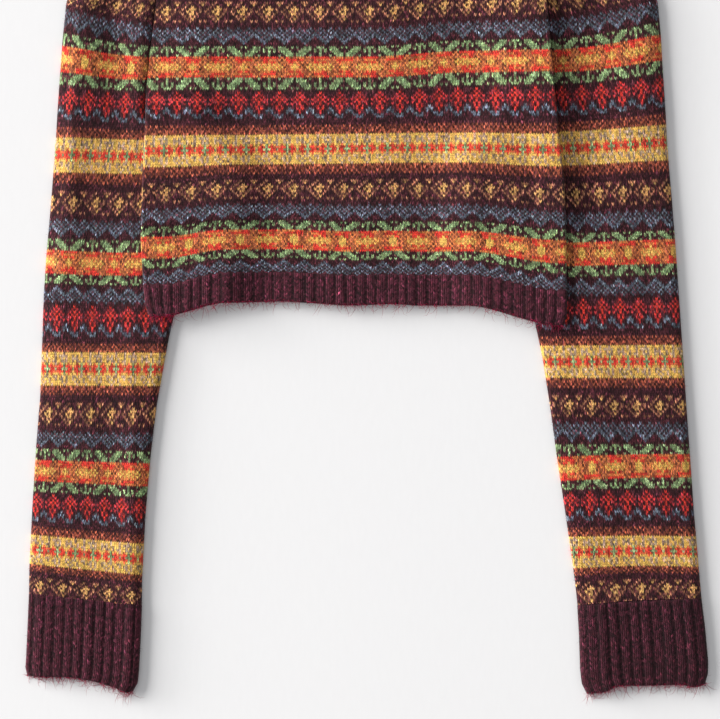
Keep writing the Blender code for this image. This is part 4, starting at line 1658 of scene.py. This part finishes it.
@dataclass
class HemRib(RibPiece):
    """The hem rib of the back or of one front."""

    panel: BodyPanel | None = None
    rows: int = 13
    rise: float = 0.6
    hang: float = 0.8
    row_height: float = 1.85
    bottom: float = 1.98
    top: float = 25.9  # level of the seam with the panel
    tuck: float = 1.2  # how far it runs on under the panel
    ease: float = 34.0  # over what length the sides are drawn in below the seam

    def __post_init__(self) -> None:
        """Turns the outer face of the knit outwards, and tucks the seam under the panel."""
        self.flip = self.panel.upward
        self.seam = RibRow(-self.tuck / (self.top - self.bottom), -1.0, sink=1.0)

    def course(self, at: RibRow) -> Course:
        """Makes one course.

        Args:
            at: Where it lies.

        Returns:
            The course.
        """
        numbers, shares, rises = self.columns()
        held = max(self.top + (self.bottom - self.top) * at.end, self.bottom)
        level = float(BODY.level(np.array(held)))
        reach = {side: float(BODY.edge(side, self.top)) + QUARTER - FOLD for side in Side}
        low, high = -reach[Side.LEFT], reach[Side.RIGHT]
        if self.panel.side == Side.RIGHT:
            low = self.panel.start_x
        elif self.panel.side == Side.LEFT:
            high = -self.panel.start_x
        nominal = low + (high - low) * shares
        for side in Side:
            drawn_in = float(BODY.edge(side, self.top) - BODY.edge(side, level))
            near = smooth((side * nominal - reach[side] + self.ease) / self.ease)
            nominal = nominal - side * drawn_in * near
        side, fold_x = BODY.side_fold(nominal, level)
        beyond = np.abs(nominal) - fold_x
        angle = np.clip(beyond / FOLD, 0.0, math.pi / 2)
        out = rises * at.faded(0.25) + 0.15
        radius = FOLD - at.sink + out * 0.6
        flat = np.minimum(np.abs(nominal), fold_x)
        line = BODY.line(side * flat, np.full(len(flat), held))
        y = line - at.past - at.hang * self.points(numbers) * self.row_height
        up = 1.0 if self.panel.upward else -1.0
        x = np.where(beyond > 0, fold_x + radius * np.sin(angle), np.abs(nominal))
        down = np.where(beyond > 0, radius * (1.0 - np.cos(angle)), 0.0)
        z = self.panel.height(side * flat, line, at.sink) + up * (out - down)
        if not self.panel.upward:
            z = np.maximum(z, 0.05)
        return Course(numbers.astype(float), place(side * x, y, z), at.row)


# ---- Sleeves and cuffs ---------------------------------------------------------------------------
def tube(
    side: Side, arc: Array, width: Array, sink: Array | float, open_share: Array | float
) -> tuple[Array, Array, Array]:
    """A point round a flattened tube.

    Args:
        side: The side of the body that it belongs to.
        arc: Length along the section from the outer fold, positive over the top.
        width: The tube's width.
        sink: How far inside the outer face.
        open_share: 1 where the inner end runs straight on to the armhole seam, 0 where it is folded.

    Returns:
        The distance from the outer fold, the height, and 1 on the upper face but -1 below.
    """
    b, up = np.abs(arc), np.where(arc >= 0, 1.0, -1.0)
    radius = FOLD - sink
    last = QUARTER + width - 2 * FOLD
    turn = np.clip(b / QUARTER, 0.0, 1.0) * math.pi / 2
    back = np.clip((b - last) / QUARTER, 0.0, 1.0)
    bend = back * math.pi / 2
    s = np.where(b < QUARTER, FOLD - radius * np.cos(turn), FOLD + b - QUARTER)
    z = np.where(b < QUARTER, radius * np.sin(turn), radius)
    closed_s, closed_z = width - FOLD + radius * np.sin(bend), radius * np.cos(bend)
    open_s, open_z = width - FOLD + FOLD * back, radius
    s = np.where(b > last, closed_s * (1 - open_share) + open_s * open_share, s)
    z = np.where(b > last, closed_z * (1 - open_share) + open_z * open_share, z)
    outer, inner = PUFF_RUNS if side == Side.LEFT else PUFF_RUNS[::-1]
    inside = np.clip(np.minimum(s / outer, (width - s) / inner), 0.0, 1.0)
    puff = np.where(up > 0, PUFF * (1.0 - (1.0 - inside) ** 2), 0.0)
    return s, FOLD + up * z + puff, up


# The sleeves' creases, in the same order
SLEEVE_CREASES = {
    Side.LEFT: (
        (-202, 238, 280, 13, -3, -2), (-239, 150, 420, 15, 2.2, 4.8), (-183, -130, 330, 12, 1.7, 5.7),
        (-236, 60, 150, 9, 0.63, -3), (-206, 24, 190, 12, -0.63, 3), (-186, -40, 170, 9, 0.7, 8),
        (-228, -96, 190, 13, 0.56, -6), (-204, -150, 150, 9, -0.63, -8), (-240, -196, 120, 10, 0.49, 3),
    ),
    Side.RIGHT: (
        (197, 190, 350, 20, -3, 5), (243, 190, 330, 18, 1.8, 4), (196, 96, 170, 9, -0.7, 3),
        (222, 78, 210, 13, 0.84, -3), (248, 12, 160, 9, -0.56, -5), (206, -52, 180, 10, 0.63, -9),
        (240, -110, 200, 13, -0.56, -7), (262, -170, 150, 9, 0.56, -4), (214, -190, 140, 9, 0.49, -8),
    ),
}


@dataclass
class Sleeve:
    """One sleeve, knitted all round and joined under the arm."""

    wardrobe: Wardrobe
    side: Side
    seed: int
    last_row: float = 254.5
    name: str = field(init=False)
    plan: SleevePlan = field(init=False)
    chart: Chart = field(init=False)

    def __post_init__(self) -> None:
        """Finds the sleeve's outline and its pattern."""
        self.name, self.plan = f"sleeve_{self.side.word}", SLEEVES[self.side]
        rounds = (SHORT_ROUND, SHORT_ROUND, LONG_ROUND, SHORT_ROUND, SHORT_ROUND)
        self.chart = Chart(rounds, self.plan.phases)

    @staticmethod
    def opening(inner_y: Array | float) -> Array:
        """How far the inner end has opened into the armhole seam, from 0 to 1."""
        return smooth((inner_y - ARMPIT + UNDERARM_EASE / 2) / UNDERARM_EASE)

    def surface(self, row: Array, arc: Array, sink: float = 0.0) -> Array:
        """Where a stitch lies.

        Args:
            row: Row numbers.
            arc: Lengths along the section from the outer fold.
            sink: How far inside the outer face.

        Returns:
            Points in metres.
        """
        ox, oy, ix, iy, bow = self.plan.row_ends(row)
        width = np.hypot(ox - ix, oy - iy)
        s, z, up = tube(self.side, arc, width, sink, self.opening(iy))
        t = s / width
        x = self.side * (ox + (ix - ox) * t)
        y = oy + (iy - oy) * t + bow * np.sin(math.pi * np.clip(t, 0.0, 1.0))
        clear = smooth((np.abs(x) - BODY.edge(self.side, y) - 2.0) / 16.0)
        raised = creased(SLEEVE_CREASES[self.side], x, y) * eased(s, 0.0, CREASE_EASE) * clear
        return place(x, y, z + np.where(up > 0, raised, 0.0))

    def course(self, row: float, straight: bool) -> Course:
        """Makes one course.

        Args:
            row: The row's number.
            straight: Whether its Vs have no points.

        Returns:
            The course.
        """
        ox, oy, ix, iy, _ = self.plan.row_ends(np.array(row))
        width = math.hypot(ox - ix, oy - iy)
        closed = 1.0 - float(self.opening(iy))
        reach = width - FOLD + QUARTER - FOLD + QUARTER * closed + FOLD * (1.0 - closed)
        zero, stitch = (float(v) for v in self.plan.wale_zero(np.array(row)))
        halves = half_run(*(2.0 * ((end - zero) / stitch + 0.5) for end in (-reach, reach)))
        arc = (halves / 2 - 0.5) * stitch + zero
        last = QUARTER + width - 2 * FOLD
        over = np.clip((np.abs(arc) - last) / max(reach - last, 1e-6), 0.0, 1.0)
        arc = np.where(np.abs(arc) > last, np.sign(arc) * (last + over * QUARTER), arc)
        hang = 0.0 if straight else DIP
        points = self.surface(row + hang * (is_point(halves) - 0.5), arc)
        points[:, 2] += stand_up(self.seed, row, halves) * np.where(arc > 0, 1.0, -0.2)
        return Course(halves, points, row)

    def paint(self, row: int, wales: Array) -> Array:
        """The yarns of a row, counted from the outer fold on either side alike."""
        return self.chart.letters(row, wales if self.side == Side.LEFT else -wales)

    def build(self) -> bpy.types.Object:
        """Builds and dresses the sleeve.

        Returns:
            The new object.
        """
        knit = Knit(self.name, self.seed, self.paint, flip=self.side == Side.LEFT)
        first = math.ceil(self.plan.rows[0][0])
        rows = [*(float(r) for r in range(first, int(self.last_row) + 1)), self.last_row]
        knit.strip([self.course(row, row in (rows[0], rows[-1])) for row in rows])
        return knit.make(self.wardrobe, self.wardrobe.knit)


@dataclass
class Cuff(RibPiece):
    """A long ribbed cuff, whose free edge isn't straight."""

    side: Side = Side.LEFT
    rows: int = 37
    hang: float = 0.8
    seam: RibRow = RibRow(0.0, -1.0, sink=0.9, past=-1.5)
    # How far the free edge hangs past a straight line, from the outer fold, 0, to the inner one, 1
    hangs: Table = ()

    def __post_init__(self) -> None:
        """Counts the ribs round this cuff, and turns the outer face of the knit outwards."""
        self.ribs, self.shade, self.hangs = CUFFS[self.side]
        self.flip = self.side == Side.RIGHT

    def course(self, at: RibRow) -> Course:
        """Makes one course.

        Args:
            at: Where it lies.

        Returns:
            The course.
        """
        numbers, shares, rises = self.columns()
        places = np.array(SLEEVES[self.side].cuff)
        down = np.array([0.0, *np.cumsum(np.hypot(np.diff(places[:, 0]), np.diff(places[:, 1])))])
        run = at.end * down[-1] + at.hang * self.points(numbers) * down[-1] / self.rows
        ox, oy, ix, iy = (np.interp(run, down, places[:, n]) for n in range(4))
        width = np.hypot(ox - ix, oy - iy)
        reach = width - 2 * FOLD + 2 * QUARTER
        arc = reach * (1.0 - 2.0 * shares)
        s, z, up = tube(self.side, arc, width, at.sink, 0.0)
        t = s / width
        turn = (places[-1, 2:] - places[-1, :2]) / float(np.mean(width))
        fade = at.faded(0.2)
        out = rises * fade * smooth((np.abs(arc) - 0.5) / 2.0)
        past = at.past + read(self.hangs, t)[0] * float(eased(at.end, 0.5, 0.5))
        x = ox + (ix - ox) * t - turn[1] * past
        y = oy + (iy - oy) * t - abs(turn[0]) * past
        near_out, near_in = s < FOLD, s > width - FOLD
        flat = ~(near_out | near_in)
        x = x + 0.4 * out * near_out - 0.4 * out * near_in
        z = z + np.where(up > 0, out, 0.0) * np.where(flat, 1.0, 0.5)
        z = np.where(up < 0, z + np.maximum(self.rise - rises, 0.0) * 0.45 * fade * flat, z)
        return Course(numbers.astype(float), place(self.side * x, y, z), at.row)


# The number of ribs round each cuff, its painted shade (a factor that darkens its colour to stand in for
# shade, far stronger on the right cuff), and how its free edge hangs
CUFFS = {
    Side.LEFT: (23, 0.92, (
        (0.0, 0.0), (0.1, -0.2), (0.2, -1.8), (0.35, -3.6), (0.45, -4.2), (0.6, -3.7), (0.72, -2.7),
        (0.84, -0.6), (0.94, 1.9), (1.0, -0.6),
    )),
    Side.RIGHT: (24, 0.66, (
        (0.0, -2.0), (0.08, 0.0), (0.14, -0.8), (0.2, -2.5), (0.3, -3.2), (0.45, -3.6), (0.6, -4.4),
        (0.7, -5.0), (0.76, -4.3), (0.83, -0.9), (0.9, 0.0), (1.0, 0.0),
    )),
}


# ---- Neckband, front bands and buttons -----------------------------------------------------------
@dataclass
class NeckbandBack(RibPiece):
    """The neckband's length along the back of the neck."""

    ribs: int = 18
    rise: float = 0.9
    seam: RibRow = RibRow(-0.06, -1.0, sink=0.9)

    def course(self, at: RibRow) -> Course:
        """Makes one course.

        Args:
            at: Where it lies.

        Returns:
            The course.
        """
        numbers, shares, rises = self.columns()
        run, fall = SHOULDER_HALF - NECK_HALF, NECK_SIDE - SHOULDER
        slope = math.hypot(run, fall)
        tip_x = NECK_HALF - NECKBAND * run / slope
        tip_y = NECK_SIDE + NECKBAND * fall / slope
        middle = NECK_SIDE - NECK_DEPTH + NECKBAND
        s = shares * 2.0 - 1.0
        end = at.end + at.past / NECKBAND - at.hang * self.points(numbers) / self.rows
        seam_y = NECK_SIDE - NECK_DEPTH * (1.0 - s * s)
        x = s * (NECK_HALF + (tip_x - NECK_HALF) * end)
        y = seam_y + (middle + (tip_y - middle) * s * s - seam_y) * end
        z = BODY.back_top(x, y) - at.sink + rises * at.faded(0.2)
        return Course(numbers.astype(float), place(x, y, z), at.row)


@dataclass
class NeckbandFront(RibPiece):
    """The neckband's length along one front, on the layer that lies down."""

    side: Side = Side.LEFT
    rise: float = 0.7
    seam: RibRow = RibRow(-0.05, -1.0, sink=0.9)

    def __post_init__(self) -> None:
        """Turns the outer face of the knit outwards."""
        self.flip = self.side == Side.LEFT

    def course(self, at: RibRow) -> Course:
        """Makes one course.

        Args:
            at: Where it lies.

        Returns:
            The course.
        """
        numbers, shares, rises = self.columns()
        end = at.end + at.past / NECKBAND - at.hang * self.points(numbers) / self.rows
        radius = NECK_HALF - 0.4 - (NECKBAND - 0.4) * end
        angle = np.arccos(np.clip(BAND_EDGE / radius, -1.0, 1.0)) * (1.0 - shares)
        x, y = self.side * radius * np.cos(angle), NECK_SIDE - radius * np.sin(angle)
        z = BODY.front_under(x, y) + at.sink + np.maximum(self.rise - rises, 0.0) * 0.6 * at.faded(0.2)
        return Course(numbers.astype(float), place(x, y, z), at.row)


@dataclass
class FrontBand(RibPiece):
    """A straight ribbed band down one front edge, knitted double."""

    base: float = HOLE_BAND_Z
    ribs: int = 9
    rows: int = 178
    rise: float = 0.45
    hang: float = 0.45
    bottom: float = 0.4
    pinches: tuple[float, float, float] = (0.35, 0.8, 1.0)  # how thick its first rows are, and its last

    def courses(self) -> list[Course]:
        """Makes all courses.

        Returns:
            The courses, each one all the way round the folded band.
        """
        numbers, shares, rises = self.columns()
        high = NECK_SIDE - math.sqrt((NECK_HALF - NECKBAND) ** 2 - BAND_EDGE**2)
        half = WALL / 2
        flat, turn, reach = 2.0 * BAND_HALF - 2.0 * half, math.pi * half, BAND_HALF - half
        arc = shares * (2.0 * flat + 2.0 * turn)
        on = [arc < flat, arc < flat + turn, arc < 2 * flat + turn]
        first, second = (arc - flat) / half, (arc - 2 * flat - turn) / half
        xs = [arc - reach, reach + half * np.sin(first), reach - (arc - flat - turn)]
        zs = [np.full(len(arc), -half), -half * np.cos(first), np.full(len(arc), half)]
        x = np.select(on, xs, -reach - half * np.sin(second))
        z = np.select(on, zs, half * np.cos(second)) * (1.0 - 0.22 * (self.rise - rises) / self.rise)
        step = (high - self.bottom) / self.rows
        made = []
        for i in range(self.rows + 1):
            pinch = self.pinches[min(i, self.rows - i, 2)]
            y = self.bottom + step * i - self.hang * self.points(numbers) * (0 < i < self.rows) * step
            made.append(Course(numbers.astype(float), place(x, y, self.base + half + z * pinch), float(i)))
        return made


@dataclass
class Buttons:
    """Six round horn buttons with four holes, sewn on with wine yarn, face down."""

    wardrobe: Wardrobe
    count: int = 6
    lowest: float = 14.0
    pitch: float = 60.0
    sides: int = 56
    hole: float = 0.75
    hole_off: float = 1.705
    yarn: float = 0.42  # radius of the yarn that holds it
    yarn_sides: int = 6
    yarn_steps: int = 10
    # Distance from the axis and height of the turned profile, from the middle of the face that lies down
    profile: Table = (
        (0.0, 0.62), (3.2, 0.62), (4.6, 0.5), (5.3, 0.18), (5.9, 0.02), (6.6, 0.0), (7.15, 0.14),
        (7.42, 0.45), (7.5, 0.85), (7.5, 1.35), (7.38, 1.75), (7.0, 2.08), (6.3, 2.25), (5.0, 2.3),
        (0.0, 2.3),
    )

    @staticmethod
    def worked(name: str, bm: bmesh.types.BMesh) -> bpy.types.Object:
        """Makes an object of a mesh that has been worked on.

        Args:
            name: Its name.
            bm: The mesh, which is freed.

        Returns:
            The new object.
        """
        mesh = bpy.data.meshes.new(name)
        bm.to_mesh(mesh)
        bm.free()
        return linked(name, mesh)

    def blank(self) -> bpy.types.Mesh:
        """Turns one button and bores its holes.

        Returns:
            The mesh of a button on the origin.
        """
        sides, bm, rings = self.sides, bmesh.new(), []
        for radius, z in self.profile:
            r = radius * MM
            turn = [2.0 * math.pi * i / sides for i in range(sides if r else 1)]
            rings.append([bm.verts.new((r * math.cos(a), r * math.sin(a), z * MM)) for a in turn])
        for low, high in zip(rings, rings[1:]):
            for i in range(sides):
                j = (i + 1) % sides
                corners = [low[i % len(low)], low[j % len(low)], high[j % len(high)], high[i % len(high)]]
                bm.faces.new(list(dict.fromkeys(corners)))
        bmesh.ops.recalc_face_normals(bm, faces=bm.faces[:])
        blank, drill = self.worked("button_blank", bm), self.drill()
        bore = blank.modifiers.new("holes", "BOOLEAN")
        bore.operation, bore.object, bore.solver = "DIFFERENCE", drill, "EXACT"
        bpy.context.view_layer.update()
        bored = bpy.data.meshes.new_from_object(blank.evaluated_get(bpy.context.evaluated_depsgraph_get()))
        for used in (blank, drill):
            bpy.data.objects.remove(used)
        return bored

    def drill(self) -> bpy.types.Object:
        """Makes the pins that bore the holes.

        Returns:
            All four, as one object.
        """
        bm, r, off = bmesh.new(), self.hole * MM, self.hole_off * MM
        for turns in (0.25, 0.75, 1.25, 1.75):
            a = turns * math.pi
            pin = bmesh.ops.create_cone(bm, cap_ends=True, segments=20, radius1=r, radius2=r, depth=6.0 * MM)
            bmesh.ops.translate(bm, verts=pin["verts"], vec=(off * math.cos(a), off * math.sin(a), 1.1 * MM))
        return self.worked("button_drill", bm)

    def thread(self, x: float, y: float) -> tuple[list[tuple[float, float, float]], list[tuple[int, ...]]]:
        """Two short loops of yarn through the holes of one button.

        Args:
            x: Where the button lies on the plan.
            y: The same, above the hem.

        Returns:
            The points, in metres, and the faces.
        """
        points, faces, sides = [], [], self.yarn_sides
        off = self.hole_off * math.sqrt(0.5)
        for middle in (y - off, y + off):
            for n in range(self.yarn_steps + 1):
                t = n / self.yarn_steps * 2.0 - 1.0
                height = 2.05 - 1.5 * math.sqrt(1.0 - t * t)
                first = len(points)
                for k in range(sides):
                    a = 2.0 * math.pi * k / sides
                    across, up = self.yarn * math.cos(a), 0.8 * self.yarn * math.sin(a)
                    points.append(tuple(place(x + off * t, middle + across, height + up)))
                    if n < self.yarn_steps:
                        j = (k + 1) % sides
                        faces.append((first + k, first + j, first + sides + j, first + sides + k))
        return points, faces

    def build(self) -> list[bpy.types.Object]:
        """Builds and dresses the buttons and the yarn that holds them.

        Returns:
            The six buttons and their yarn.
        """
        bored, made, points, faces = self.blank(), [], [], []
        for n in range(self.count):
            y = self.lowest + n * self.pitch
            mesh = bored.copy()
            to = Matrix.Translation(Vector(place(0.0, y, 0.0).tolist()))
            mesh.transform(to @ Matrix.Rotation(n * 0.7, 4, "Z"))
            mesh.polygons.foreach_set("use_smooth", np.ones(len(mesh.polygons), bool))
            mesh.set_sharp_from_angle(angle=math.radians(40.0))
            piece = linked(f"button_{n + 1}_horn", mesh)
            made.append(self.wardrobe.dress(piece, self.wardrobe.horn, f"button_{n + 1}"))
            more, more_faces = self.thread(0.0, y)
            faces += [tuple(i + len(points) for i in f) for f in more_faces]
            points += more
        rng = np.random.default_rng(77)
        tones = np.exp(rng.normal(0.0, 0.2, len(faces)))[:, None] * Yarn.WINE.light * 1.15
        made.append(yarn_piece(self.wardrobe, self.wardrobe.rib, "button_yarn", points, faces, tones))
        return made


def yarn_piece(
    wardrobe: Wardrobe,
    finish: KnitFinish,
    name: str,
    points: Sequence[Sequence[float]],
    faces: Sequence[tuple[int, ...]],
    tones: Array,
) -> bpy.types.Object:
    """Makes a piece of loose yarn or fibres.

    Args:
        wardrobe: The finishes.
        finish: The finish that it wears.
        name: The piece's name.
        points: Its points, in metres.
        faces: Its faces.
        tones: One linear colour for each face.

    Returns:
        The new object.
    """
    mesh = bpy.data.meshes.new(name)
    mesh.from_pydata([tuple(map(float, p)) for p in points], [], faces)
    sizes = np.array([len(f) for f in faces])
    write_yarn(mesh, sizes, tones, np.full(sizes.sum() * 2, 0.25))
    LOG.info("%s: %d faces of yarn", name, len(faces))
    return wardrobe.dress(linked(name, mesh), finish)


# ---- Studio --------------------------------------------------------------------------------------
@dataclass(frozen=True)
class Lamp:
    """A soft lamp that points at the garment, in metres and watts."""

    name: str
    hangs_at: tuple[float, float, float]
    size: tuple[float, float]
    power: float
    tint: Colour = (1.0, 0.985, 0.965)
    aims_at: tuple[float, float, float] = (0.0, -0.05, 0.0)

    def build(self) -> None:
        """Hangs the lamp."""
        data = bpy.data.lights.new(self.name, "AREA")
        data.shape, data.energy, data.color = "RECTANGLE", self.power, self.tint
        data.size, data.size_y = self.size
        lamp = linked(self.name, data)
        lamp.location = self.hangs_at
        lamp.rotation_euler = (Vector(self.aims_at) - lamp.location).to_track_quat("-Z", "Y").to_euler()


@dataclass
class Studio:
    """A pale floor, soft light from the upper left and a camera straight above."""

    lamps: tuple[Lamp, ...] = (
        Lamp("key", (-14.8, 4.4, 5.2), (11.0, 7.4), 6150.0),
        Lamp("low_key", (-14.8, 4.4, 1.9), (11.0, 2.2), 2000.0),
    )
    room_tint: Colour = (0.985, 0.985, 1.0)
    room_light: float = 0.56
    floor_size: float = 6.0
    floor_z: float = -0.0002
    lens: float = 100.0
    sensor: float = 36.0
    view_width: float = 612.0
    view_z: float = 4.0  # height of the cloth that the view's width is measured on
    look_at: tuple[float, float] = (-5.85, -74.15)

    def build(self) -> None:
        """Lays the floor, hangs the lamps, lights the room and sets the camera."""
        scene, mesh, r = bpy.context.scene, bpy.data.meshes.new("floor"), self.floor_size
        mesh.from_pydata([(-r, -r, 0.0), (r, -r, 0.0), (r, r, 0.0), (-r, r, 0.0)], [], [(0, 1, 2, 3)])
        mesh.materials.append(FloorFinish().material())
        floor = linked("floor", mesh)
        floor.location.z = self.floor_z
        for lamp in self.lamps:
            lamp.build()
        scene.world = bpy.data.worlds.new("soft_room")
        scene.world.use_nodes = True
        room = scene.world.node_tree.nodes["Background"]
        room.inputs["Color"].default_value = (*self.room_tint, 1.0)
        room.inputs["Strength"].default_value = self.room_light
        scene.view_settings.view_transform = "Standard"
        data = bpy.data.cameras.new("camera")
        data.lens, data.sensor_width = self.lens, self.sensor
        data.clip_start, data.clip_end = 0.05, 40.0
        scene.camera = linked("camera", data)
        away = self.view_width * self.lens / self.sensor + self.view_z
        scene.camera.location = Vector((*self.look_at, away)) * MM


# ---- The garment ---------------------------------------------------------------------------------
def corners(box: tuple[Vector, Vector]) -> list[list[float]]:
    """A box's two corners as plain lists."""
    return [[float(v) for v in corner] for corner in box]


def main() -> None:
    """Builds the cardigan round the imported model."""
    logging.basicConfig(level=logging.INFO, format="%(name)s: %(message)s")
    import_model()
    wardrobe = Wardrobe()
    Studio().build()
    back = BodyPanel(wardrobe, "back", 11, True)
    fronts = {
        side: BodyPanel(wardrobe, f"front_{side.word}", 20 + side, False, start_x=BAND_EDGE, side=side)
        for side in Side
    }
    for panel in (back, *fronts.values()):
        panel.build()
    HemRib(wardrobe, "hem_back", 31, 41, panel=back).build()
    for side in Side:
        HemRib(wardrobe, f"hem_front_{side.word}", 32 + side, 19, panel=fronts[side]).build()
        Sleeve(wardrobe, side, 41 + side).build()
        Cuff(wardrobe, f"cuff_{side.word}", 51 + side, side=side).build()
        NeckbandFront(wardrobe, f"neckband_front_{side.word}", 61 + side, side=side).build()
    NeckbandBack(wardrobe, "neckband_back", 63).build()
    FrontBand(wardrobe, "buttonhole_band", 71, base=HOLE_BAND_Z).build()
    FrontBand(wardrobe, "button_band", 72, base=BUTTON_BAND_Z).build()
    Buttons(wardrobe).build()
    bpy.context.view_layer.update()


if __name__ == "__main__":
    main()
